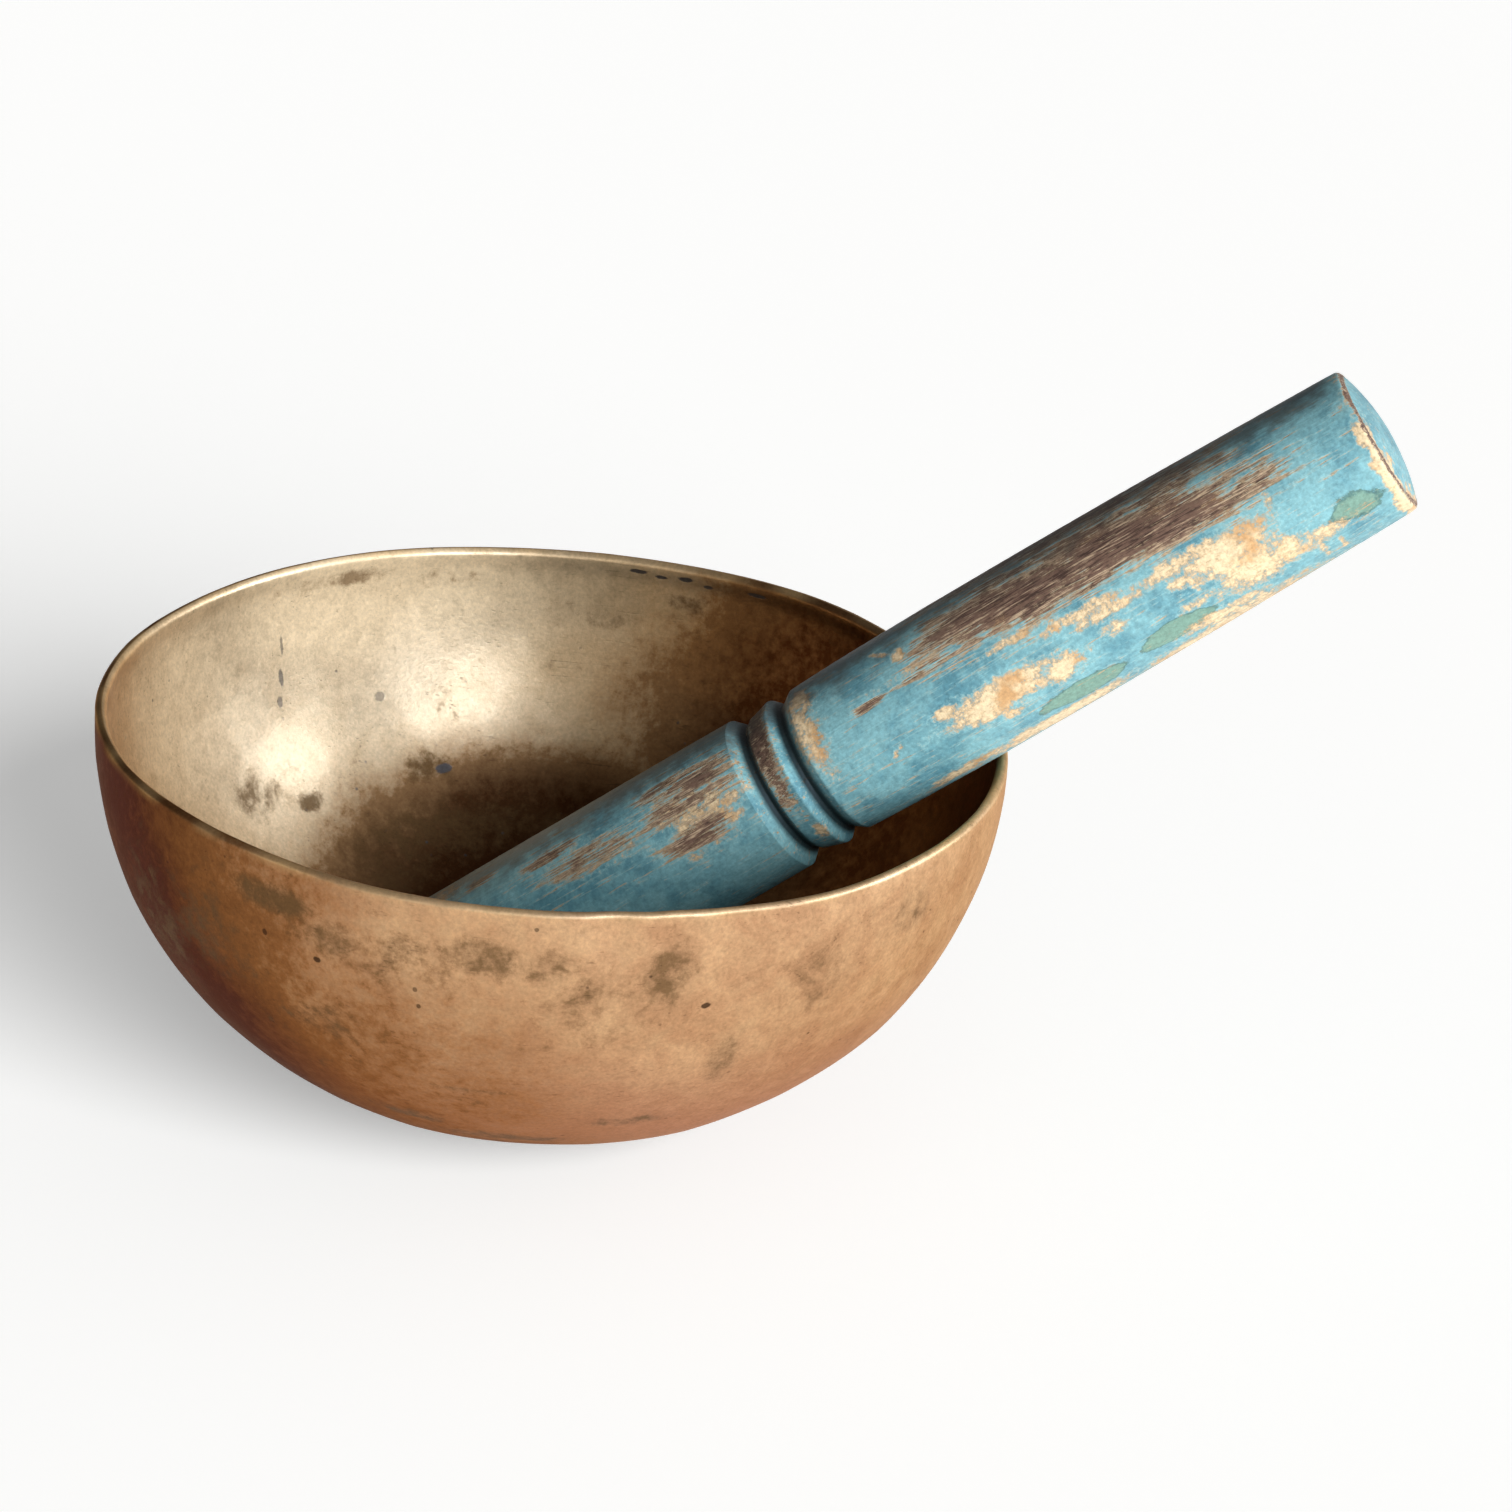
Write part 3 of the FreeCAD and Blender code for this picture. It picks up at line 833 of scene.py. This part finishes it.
        # The lip's inner face bulges softly and runs out into the wall under it.
        lip_foot = (self.rim_radius - self.lip + self.lip_wear, self.height - self.lip_depth)
        chord = Vector(lip_foot) - Vector(crown)
        centre = (Vector(crown) + Vector(lip_foot)) / 2
        centre += Vector((-chord.y, chord.x)).normalized() * self.lip_bulge
        ledge_z = lip_foot[1] - self.lip_ledge
        ledge = (wall[0] + math.sqrt(inner_wall**2 - (ledge_z - wall[1]) ** 2), ledge_z)
        line = Outline(self.step)
        line.start((0.0, 0.0))
        line.line((self.foot_radius, 0.0))
        line.arc(base, self.turning_point(self.wall_arc))
        line.arc(wall, (reach, shoulder_z))
        line.side = 0.5
        line.arc((crown[0], shoulder_z), crown, 5)
        line.side = 1.0
        line.arc(tuple(centre), lip_foot, 6)
        line.line(ledge)
        line.arc(wall, self.turning_point(inner_wall))
        floor_x = math.sqrt((self.base_arc - self.wall) ** 2 - (base[1] - self.floor) ** 2)
        line.arc(base, (floor_x, self.floor))
        line.line((0.0, self.floor))
        return line

    def hammer(self, skin: bmesh.types.BMesh) -> None:
        """Move the skin as the hammer did: a swaying sheet, facets, dents and an uneven lip."""
        side = skin.verts.layers.float["side"]
        centre = self.wall_centre()
        for vert in skin.verts:
            place = vert.co / MM
            radius = math.hypot(place.x, place.y)
            if radius < self.foot_radius + self.foot_margin:
                continue
            outward = Vector((place.x / radius, place.y / radius, 0.0))
            tilt = min(0.0, (place.z - centre[1]) / self.wall_arc)
            outward = (outward * math.sqrt(1 - tilt**2) + Vector((0, 0, tilt))).normalized()
            hold = smooth_fade(-place.z, -14.0, -2.0)
            sway = noise.noise(place / self.sway_size) * self.sway
            # Inside and outside have their own facets.
            shift = Vector((7.0, 3.0, vert[side] * 5.0))
            cell = noise.voronoi(place / self.facet_size + shift)[0][0]
            facet = (cell * cell - 0.25) * self.facet
            azimuth = math.degrees(math.atan2(place.y, place.x))
            push = rise = 0.0
            for press in self.presses:
                turn = math.radians(turn_between(azimuth, press.azimuth))
                reach = math.hypot(turn * radius / press.spread,
                                   (place.z - press.height) / press.tall)
                share = smooth_fade(reach, 0.0, 1.0)
                push += press.push * share
                rise += press.rise * share
            move = outward * ((sway + facet) * hold - push)
            vert.co = (place + move + Vector((0, 0, rise))) * MM

    def mark(self, skin: bmesh.types.BMesh) -> None:
        """Write the layers that the bronze finish reads: inside, the lip (partly a painted highlight),
        olive tarnish, brown painted shade and pale painted light.
        """
        side = skin.verts.layers.float["side"]
        inside = skin.verts.layers.float.new("inside")
        lip = skin.verts.layers.float.new("lip")
        tones = {kind: skin.verts.layers.float.new(kind.value) for kind in TarnishOrPaintedLight}
        for vert in skin.verts:
            place = vert.co / MM
            radius = math.hypot(place.x, place.y)
            azimuth = math.degrees(math.atan2(place.y, place.x))
            vert[inside] = vert[side]
            # The lip's crown is painted paler: partly rubbed bright, partly a painted highlight.
            crown = smooth_fade(abs(place.z - self.height), 0.3, 1.6)
            vert[lip] = crown * (0.25 + 0.6 * noise.noise(place / 9.0))
            if place.z < 1.0 and radius < self.foot_radius:
                continue
            for patch in self.stains:
                if patch.inside != (vert[side] > 0.75):
                    continue
                if abs(place.z - patch.height) > patch.tall:
                    continue
                turn = math.radians(turn_between(azimuth, patch.azimuth))
                reach = math.hypot(turn * radius / (patch.across / 2),
                                   (place.z - patch.height) / (patch.tall / 2))
                tone = patch.tone * smooth_fade(reach, 0.36, 1.3)
                vert[tones[patch.kind]] = max(vert[tones[patch.kind]], tone)

    def build(self) -> bpy.types.Object:
        """Build and dress the bowl.

        Returns:
            The finished piece, riding on its body and standing for the CAD bowl.
        """
        skin = self.outline().spin(self.turns)
        self.mark(skin)
        self.hammer(skin)
        skin.normal_update()
        spots = [(self.wall_point(s.azimuth, s.height, s.inside), s) for s in self.spots]
        piece = finish_piece(skin, "bronze_bowl", AgedBronze().build(spots))
        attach(piece, "bowl")
        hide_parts("bowl")
        return piece


# --- Mallet ---


class Coat(Enum):
    """What shows at a worn place on the mallet."""

    WOOD = "wood"
    UNDERCOAT = "undercoat"
    GREEN = "green"


@dataclass(frozen=True)
class Wear:
    """A worn or stained place on the mallet.

    `station` is measured along the mallet from its striking end, and `angle` in degrees round it
    from the side that faces -Y, upwards. `length` runs along the mallet and `width` round it.
    """

    coat: Coat
    station: float
    angle: float
    length: float
    width: float
    depth: float = 1.0
    slant: float = 0.0


WOOD, UNDERCOAT, GREEN = Coat.WOOD, Coat.UNDERCOAT, Coat.GREEN


@dataclass
class Mallet:
    """The turned wooden mallet: striking end, two grooves with a bead between, long handle."""

    tip_radius: float = 15.8
    tip_round: float = 1.8
    striker: float = 76.3
    crest_radius: float = 15.4
    groove_radius: float = 12.8
    groove_run: float = 2.7
    bead_foot_run: float = 1.4
    bead_foot_radius: float = 13.9
    bead: float = 5.2
    bead_radius: float = 15.1
    bead_fall: float = 2.3
    bead_round: float = 0.6
    edge_round: float = 0.3
    shoulder_radius: float = 14.7
    shoulder_round: float = 1.2
    handle: float = 116.0
    belly_radius: float = 15.3
    belly_station: float = 33.0
    end_radius: float = 14.1
    end_round: float = 1.2
    dome: float = 2.0
    tip_rest: float = 8.8
    rest_gap: float = 0.3
    step: float = 0.56
    turns: int = 190
    lump: float = 0.09
    coat_depth: float = 0.10
    wears: tuple[Wear, ...] = (
        # Handle, long bare patch on the upper side.
        Wear(WOOD, 158, 46, 62, 10.5, 1.0, -0.05),
        Wear(WOOD, 137, 52, 38, 12, 0.95, -0.06),
        Wear(WOOD, 129, 57, 26, 13, 0.88),
        Wear(WOOD, 158, 70, 54, 7, 0.66),
        Wear(WOOD, 137, 74, 30, 5, 0.62),
        Wear(WOOD, 150, 98, 70, 12, 0.75),
        Wear(WOOD, 172, 82, 12, 7, 0.7),
        Wear(WOOD, 104, 38, 9, 2.2, 0.8, 0.12),
        Wear(WOOD, 119, 40, 24, 2.4, 0.62),
        # Handle, worn to the undercoat.
        Wear(UNDERCOAT, 113, 60, 4, 4, 0.9),
        Wear(UNDERCOAT, 109.5, 70, 8, 2, 0.7, -0.8),
        Wear(UNDERCOAT, 112, 44, 20, 3, 0.6),
        Wear(UNDERCOAT, 127, -2, 30, 8, 0.95),
        Wear(UNDERCOAT, 138, -8, 14, 6, 0.95),
        Wear(UNDERCOAT, 122, -10, 10, 5, 0.9),
        Wear(UNDERCOAT, 116, 6, 9, 3, 0.85),
        Wear(UNDERCOAT, 126, -20, 6, 4, 0.8),
        Wear(UNDERCOAT, 146, 19, 24, 3.4, 0.86),
        Wear(UNDERCOAT, 134, 27, 20, 2.6, 0.8),
        Wear(UNDERCOAT, 152, 11, 22, 3.4, 0.85),
        Wear(UNDERCOAT, 150, 0, 10, 4, 0.72),
        Wear(UNDERCOAT, 165, 15, 28, 4.2, 0.86),
        Wear(UNDERCOAT, 181, 12, 14, 4, 0.72),
        Wear(UNDERCOAT, 164, 3, 6, 3, 0.9),
        Wear(UNDERCOAT, 174, 4, 24, 10, 0.92),
        Wear(UNDERCOAT, 178, -18, 24, 10, 0.88),
        Wear(UNDERCOAT, 165, -18, 12, 3, 0.75),
        Wear(UNDERCOAT, 167, -40, 22, 5, 0.85),
        Wear(UNDERCOAT, 190, -22, 20, 5, 0.8),
        Wear(UNDERCOAT, 188.5, -38, 2.5, 10, 0.72),
        Wear(UNDERCOAT, 192, -40, 2, 10, 0.72),
        Wear(UNDERCOAT, 185, 20, 2.5, 6, 0.7, 0.6),
        Wear(UNDERCOAT, 112, -48, 26, 5, 0.9),
        Wear(UNDERCOAT, 132, -54, 40, 8, 0.95),
        Wear(UNDERCOAT, 166, -60, 56, 9, 0.9),
        Wear(UNDERCOAT, 104, -2, 4, 1.6, 0.8, 0.5),
        # Shoulder beside the second groove.
        Wear(UNDERCOAT, 91.5, 78, 6, 9, 0.95),
        Wear(UNDERCOAT, 91.5, 44, 8, 24, 0.8),
        Wear(UNDERCOAT, 91.0, 55, 3, 10, 0.75),
        # Striking part.
        Wear(WOOD, 65, 19, 15, 5, 0.9),
        Wear(WOOD, 66, 44, 24, 8, 0.6),
        Wear(WOOD, 45, 46, 22, 6, 0.56),
        Wear(UNDERCOAT, 67, 36, 24, 18, 0.78),
        Wear(UNDERCOAT, 48, 42, 20, 9, 0.55),
        Wear(WOOD, 68, 56, 18, 8, 0.72),
        Wear(WOOD, 60, 64, 14, 5, 0.62),
        Wear(WOOD, 36, 62, 16, 4, 0.62),
        Wear(WOOD, 21, 76, 7, 3, 0.62),
        Wear(UNDERCOAT, 70, 45, 16, 14, 0.66),
        Wear(UNDERCOAT, 72, 20, 8, 5, 0.75),
        Wear(UNDERCOAT, 60, 50, 14, 10, 0.55),
        Wear(UNDERCOAT, 40, 56, 20, 8, 0.5),
        Wear(UNDERCOAT, 12, 88, 12, 10, 0.7),
        Wear(UNDERCOAT, 62, 8, 5, 3, 0.7),
        Wear(WOOD, 82, 62, 5, 34, 0.95),
        Wear(UNDERCOAT, 83.5, -26, 4, 6, 0.9),
        # Far side, worn in the same way.
        Wear(WOOD, 150, 190, 60, 9, 0.9),
        Wear(WOOD, 116, 220, 24, 6, 0.8),
        Wear(UNDERCOAT, 140, 170, 44, 8, 0.85),
        Wear(UNDERCOAT, 176, 228, 28, 8, 0.85),
        Wear(UNDERCOAT, 104, 150, 18, 6, 0.8),
        Wear(WOOD, 50, 170, 26, 7, 0.8),
        Wear(UNDERCOAT, 58, 230, 24, 9, 0.85),
        Wear(WOOD, 30, -90, 30, 8, 0.8),
        # Stains on the lower side.
        Wear(GREEN, 159, -29, 15, 5, 0.85),
        Wear(GREEN, 139, -33, 18, 5.5, 0.8),
        Wear(GREEN, 197, -15, 12, 8, 0.55),
        Wear(GREEN, 130, 200, 24, 9, 0.6),
    )

    def grooves(self) -> tuple[float, float]:
        """Stations of the bottoms of the two grooves."""
        first = self.striker + self.groove_run
        return first, first + 2 * self.bead_foot_run + self.bead

    def outline(self) -> Outline:
        """Half section from the centre of the striking end to the top of the handle's dome."""
        first, second = self.grooves()
        shoulder = second + self.groove_run
        belly = shoulder + self.belly_station
        end = shoulder + self.handle
        crest = (self.crest_radius, self.striker)
        bead_foot = (self.bead_foot_radius, first + self.bead_foot_run)
        bead_crest = (self.bead_radius, second - self.bead_fall)
        line = Outline(self.step)
        line.start((0.0, 0.0))
        line.rounded((self.tip_radius, 0.0), crest, self.tip_round)
        line.rounded(crest, (self.groove_radius, first), self.edge_round)
        line.rounded((self.groove_radius, first), bead_foot, self.edge_round)
        line.rounded(bead_foot, bead_crest, self.edge_round)
        line.rounded(bead_crest, (self.groove_radius, second), self.bead_round)
        line.rounded((self.groove_radius, second), (self.shoulder_radius, shoulder),
                     self.edge_round)
        line.rounded((self.shoulder_radius, shoulder), (self.shoulder_radius, belly),
                     self.shoulder_round)
        # Two arcs meet at the belly, where the handle runs parallel to its axis.
        top, finish = (self.belly_radius, belly), (self.end_radius, end - self.end_round)
        for low, stop in ((line.points[-1], top), (finish, finish)):
            drop, run = top[0] - low[0], abs(low[1] - belly)
            radius = (drop**2 + run**2) / (2 * drop)
            line.arc((top[0] - radius, belly), stop)
        rim = (self.end_radius - self.end_round, end)
        line.arc((rim[0], end - self.end_round), rim, 5)
        dome_radius = (rim[0] ** 2 + self.dome**2) / (2 * self.dome)
        line.arc((0.0, end + self.dome - dome_radius), (0.0, end + self.dome))
        return line

    def placement(self, bowl: Bowl) -> Matrix:
        """Work out how the mallet lies in the bowl, from the sizes of both.

        Args:
            bowl: The bowl that it leans in.

        Returns:
            Matrix from the mallet's own axes, in metres, to the frame.
        """
        lip_x = bowl.rim_radius - bowl.lip + bowl.lip_round
        lip_z = bowl.height - bowl.lip_round
        tip_x = -self.tip_rest
        tip_z = bowl.floor + self.rest_gap + self.tip_round
        above_lip = self.belly_radius + bowl.lip_round + self.rest_gap
        above_tip = self.tip_radius - self.tip_round
        span = math.hypot(lip_x - tip_x, lip_z - tip_z)
        lean = math.atan2(lip_z - tip_z, lip_x - tip_x) + math.asin((above_lip - above_tip) / span)
        across = above_tip * math.sin(lean) + self.tip_round * math.cos(lean)
        up = above_tip * math.cos(lean) - self.tip_round * math.sin(lean)
        end = Vector((tip_x - across, 0.0, tip_z + up)) * MM
        return Matrix.Translation(end) @ Matrix.Rotation(math.pi / 2 - lean, 4, "Y")

    def wear_at(self, marks: list[Wear], station: float, angle: float, shake: float) -> float:
        """How far the surface is worn at one point.

        Args:
            marks: The worn places of one coat.
            station: Distance along the mallet.
            angle: Degrees round it.
            shake: Noise that moves the edges of the places about.

        Returns:
            Zero where nothing is worn, up to one.
        """
        worn = 0.0
        for mark in marks:
            along = station - mark.station
            if abs(along) > mark.length:
                continue
            turn = math.radians(turn_between(angle, mark.angle))
            around = turn * self.belly_radius - along * mark.slant
            if abs(around) > mark.width * 2:
                continue
            reach = math.hypot(along / (mark.length / 2), around / (mark.width / 2)) + shake
            worn = max(worn, mark.depth * smooth_fade(reach, 0.1, 1.6))
        return worn

    def wear_down(self, skin: bmesh.types.BMesh) -> None:
        """Write the wear layers and the painted shade layers, and sink the worn places under the
        paint.
        """
        layers = {coat: skin.verts.layers.float.new(coat.value) for coat in Coat}
        marks = {coat: [mark for mark in self.wears if mark.coat is coat] for coat in Coat}
        groove = skin.verts.layers.float.new("groove")
        upper_shade = skin.verts.layers.float.new("upper_shade")
        first, second = self.grooves()
        end = second + self.groove_run + self.handle
        skin.normal_update()
        for vert in skin.verts:
            place = vert.co / MM
            radius = math.hypot(place.x, place.y)
            # The side that faces -Y is angle zero; the top, which leans to -X, is 90 degrees.
            angle = math.degrees(math.atan2(-place.x, -place.y))
            shake = 0.3 * noise.noise(Vector((place.x, place.y, place.z * 0.35)) / 3.0)
            worn = {coat: 0.0 for coat in Coat}
            if radius > 0.8 * self.groove_radius:
                worn = {coat: self.wear_at(marks[coat], place.z, angle, shake) for coat in Coat}
            # The edge of the handle's end: a thin bare line, then a ragged cream band.
            ragged = noise.noise(place / 2.6) + 0.5 * noise.noise(place / 0.9)
            inward = end - place.z
            upper = smooth_fade(abs(angle - 90), 40.0, 75.0)
            if inward > -0.8:
                band = smooth_fade(abs(inward - 1.0) + 1.3 * ragged, 0.4, 2.6)
                worn[UNDERCOAT] = max(worn[UNDERCOAT], band * (1.0 - 0.5 * upper))
            off_edge = inward if inward > 0 else self.end_radius - radius
            line = smooth_fade(abs(off_edge) + 0.4 * ragged, 0.1, 0.9)
            worn[WOOD] = max(worn[WOOD], line * (0.75 + 0.25 * upper))
            # Painted shade: the upper side is marked for darkening, with a ragged edge, up to the
            # handle's end.
            shaded_top = smooth_fade(abs(angle - 108) + 14.0 * ragged, 8.0, 66.0)
            vert[upper_shade] = shaded_top * smooth_fade(place.z - end, -6.0, 0.0)
            for coat, layer in layers.items():
                vert[layer] = worn[coat]
            # Painted shade: the bottoms of both grooves are marked for near-black colour.
            nearest = min(abs(place.z - first), abs(place.z - second))
            if nearest < 3.0:
                vert[groove] = 0.96 * smooth_fade(radius, self.groove_radius + 0.5,
                                                  self.groove_radius + 1.5)
            lump = noise.noise(Vector((place.x, place.y, place.z * 0.4)) / 9.0) * self.lump
            lump += 0.35 * self.lump * noise.noise(place / 1.3)
            sink = self.coat_depth * max(worn[UNDERCOAT] * 0.6, worn[WOOD])
            vert.co += vert.normal * (lump - sink) * MM

    def build(self, bowl: Bowl) -> bpy.types.Object:
        """Build, wear down, place and dress the mallet.

        Args:
            bowl: The bowl that it leans in.

        Returns:
            The finished piece, riding on its body and standing for the CAD mallet.
        """
        skin = self.outline().spin(self.turns)
        self.wear_down(skin)
        lay = self.placement(bowl)
        bmesh.ops.transform(skin, matrix=lay, verts=skin.verts[:])
        skin.normal_update()
        piece = finish_piece(skin, "painted_mallet", WornPaint().build(lay.inverted()))
        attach(piece, "mallet")
        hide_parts("mallet")
        return piece


# --- Studio ---


class Serves(Enum):
    """Which surfaces a light reaches."""

    MATT = "diffuse"
    MIRROR = "glossy"


@dataclass(frozen=True)
class SoftLight:
    """A broad light far away: its place as seen from the bowl, width, power and what it serves.

    The key serves matt surfaces and the floor; the fill and the windows are what metal mirrors.
    """

    name: str
    azimuth: float
    elevation: float
    width: float
    power: float
    serves: Serves
    colour: str = "ffffff"


@dataclass
class Studio:
    """Pale floor, four broad lights, a sky and the camera."""

    floor_size: float = 24000.0
    aim: tuple[float, float, float] = (37.65, 0.0, 68.34)
    distance: float = 687.0
    azimuth: float = 1.2
    elevation: float = 23.906
    roll: float = 5.0
    lens: float = 88.095
    dim_sky: float = 0.12
    bright_sky: float = 1.1
    lights: tuple[SoftLight, ...] = (
        SoftLight("key", -50, 22, 38, 4.3, Serves.MATT),
        SoftLight("fill", -20, 12, 110, 1.75, Serves.MIRROR, "e2ecff"),
        SoftLight("right_window", 0, 13, 34, 1.6, Serves.MIRROR, "ccdfff"),
        SoftLight("front_window", -54, 20, 27, 1.05, Serves.MIRROR, "c8dcff"),
    )

    def lay_floor(self) -> None:
        """Lay a large white board just under the foot."""
        board = bmesh.new()
        bmesh.ops.create_grid(board, x_segments=1, y_segments=1, size=self.floor_size / 2 * MM)
        bmesh.ops.translate(board, verts=board.verts[:], vec=(0, 0, -0.05 * MM))
        finish_piece(board, "floor_board", StudioFloor().build())

    def hang_lights(self) -> None:
        """Add the broad lights and the sky, bright at the horizon and dim overhead."""
        for light in self.lights:
            lamp = bpy.data.lights.new(light.name, "SUN")
            lamp.energy = light.power
            lamp.color = linear(light.colour)[:3]
            lamp.angle = math.radians(light.width)
            holder = bpy.data.objects.new(light.name, lamp)
            holder.visible_diffuse = light.serves is Serves.MATT
            holder.visible_glossy = light.serves is Serves.MIRROR
            turn = Matrix.Rotation(math.radians(light.azimuth + 90), 4, "Z")
            tip = Matrix.Rotation(math.radians(90 - light.elevation), 4, "X")
            holder.matrix_world = turn @ tip
            bpy.context.scene.collection.objects.link(holder)
        world = bpy.data.worlds.new("studio_sky")
        tree = empty_tree(world)
        ray = add_node(tree, "ShaderNodeTexCoord", output="Generated")
        above = add_node(tree, "ShaderNodeSeparateXYZ", inputs={0: ray}, output="Z")
        lowness = add_node(tree, RANGE, SMOOTH, {"Value": above, "From Min": 0.7, "From Max": 0.1})
        # One side of the room is lit: the right and the front.
        towards = add_node(tree, VECTOR, {"operation": "DOT_PRODUCT"}, {
            0: ray, 1: (0.82, -0.57, 0.0),
        }, "Value")
        lit = add_node(tree, RANGE, SMOOTH, {"Value": towards, "From Min": -0.7, "From Max": 0.7})
        lit = add_node(tree, MATH, TIMES, {0: lit, 1: lowness})
        strength = add_node(tree, RANGE, inputs={
            "Value": lit, "To Min": self.dim_sky, "To Max": self.bright_sky,
        })
        # What lights the bowl, and what the camera sees behind it.
        sky, plain = (
            add_node(tree, "ShaderNodeBackground", inputs={"Color": linear(hue), "Strength": power})
            for hue, power in (("ffffff", strength), ("fcfcfc", 1.0))
        )
        seen = add_node(tree, "ShaderNodeLightPath", output="Is Camera Ray")
        both = add_node(tree, "ShaderNodeMixShader", inputs={0: seen, 1: sky, 2: plain})
        add_node(tree, "ShaderNodeOutputWorld", inputs={"Surface": both})
        bpy.context.scene.world = world

    def set_camera(self) -> None:
        """Put the camera a little above the rim, rolled as it was held."""
        data = bpy.data.cameras.new("camera")
        data.lens = self.lens
        data.sensor_width = 36.0
        camera = bpy.data.objects.new("camera", data)
        turn = Matrix.Rotation(math.radians(self.azimuth), 4, "Z")
        tip = Matrix.Rotation(math.radians(90 - self.elevation), 4, "X")
        roll = Matrix.Rotation(math.radians(self.roll), 4, "Z")
        back = Matrix.Translation((0, 0, self.distance * MM))
        aim = Matrix.Translation(Vector(self.aim) * MM)
        camera.matrix_world = aim @ turn @ tip @ back @ roll
        bpy.context.scene.collection.objects.link(camera)
        bpy.context.scene.camera = camera

    def build(self) -> None:
        """Set up floor, lights, camera and plain colour reproduction."""
        self.set_camera()
        self.lay_floor()
        self.hang_lights()
        scene = bpy.context.scene
        scene.view_settings.view_transform = "Standard"
        scene.cycles.caustics_reflective = False


def main() -> None:
    """Build the studio, the bowl and the mallet."""
    logging.basicConfig(level=logging.INFO, format="%(name)s: %(message)s")
    Studio().build()
    LOG.info("studio set up")
    bowl = Bowl()
    for piece in (bowl.build(), Mallet().build(bowl)):
        LOG.info("%s: %d faces", piece.name, len(piece.data.polygons))


if __name__ == "__main__":
    main()
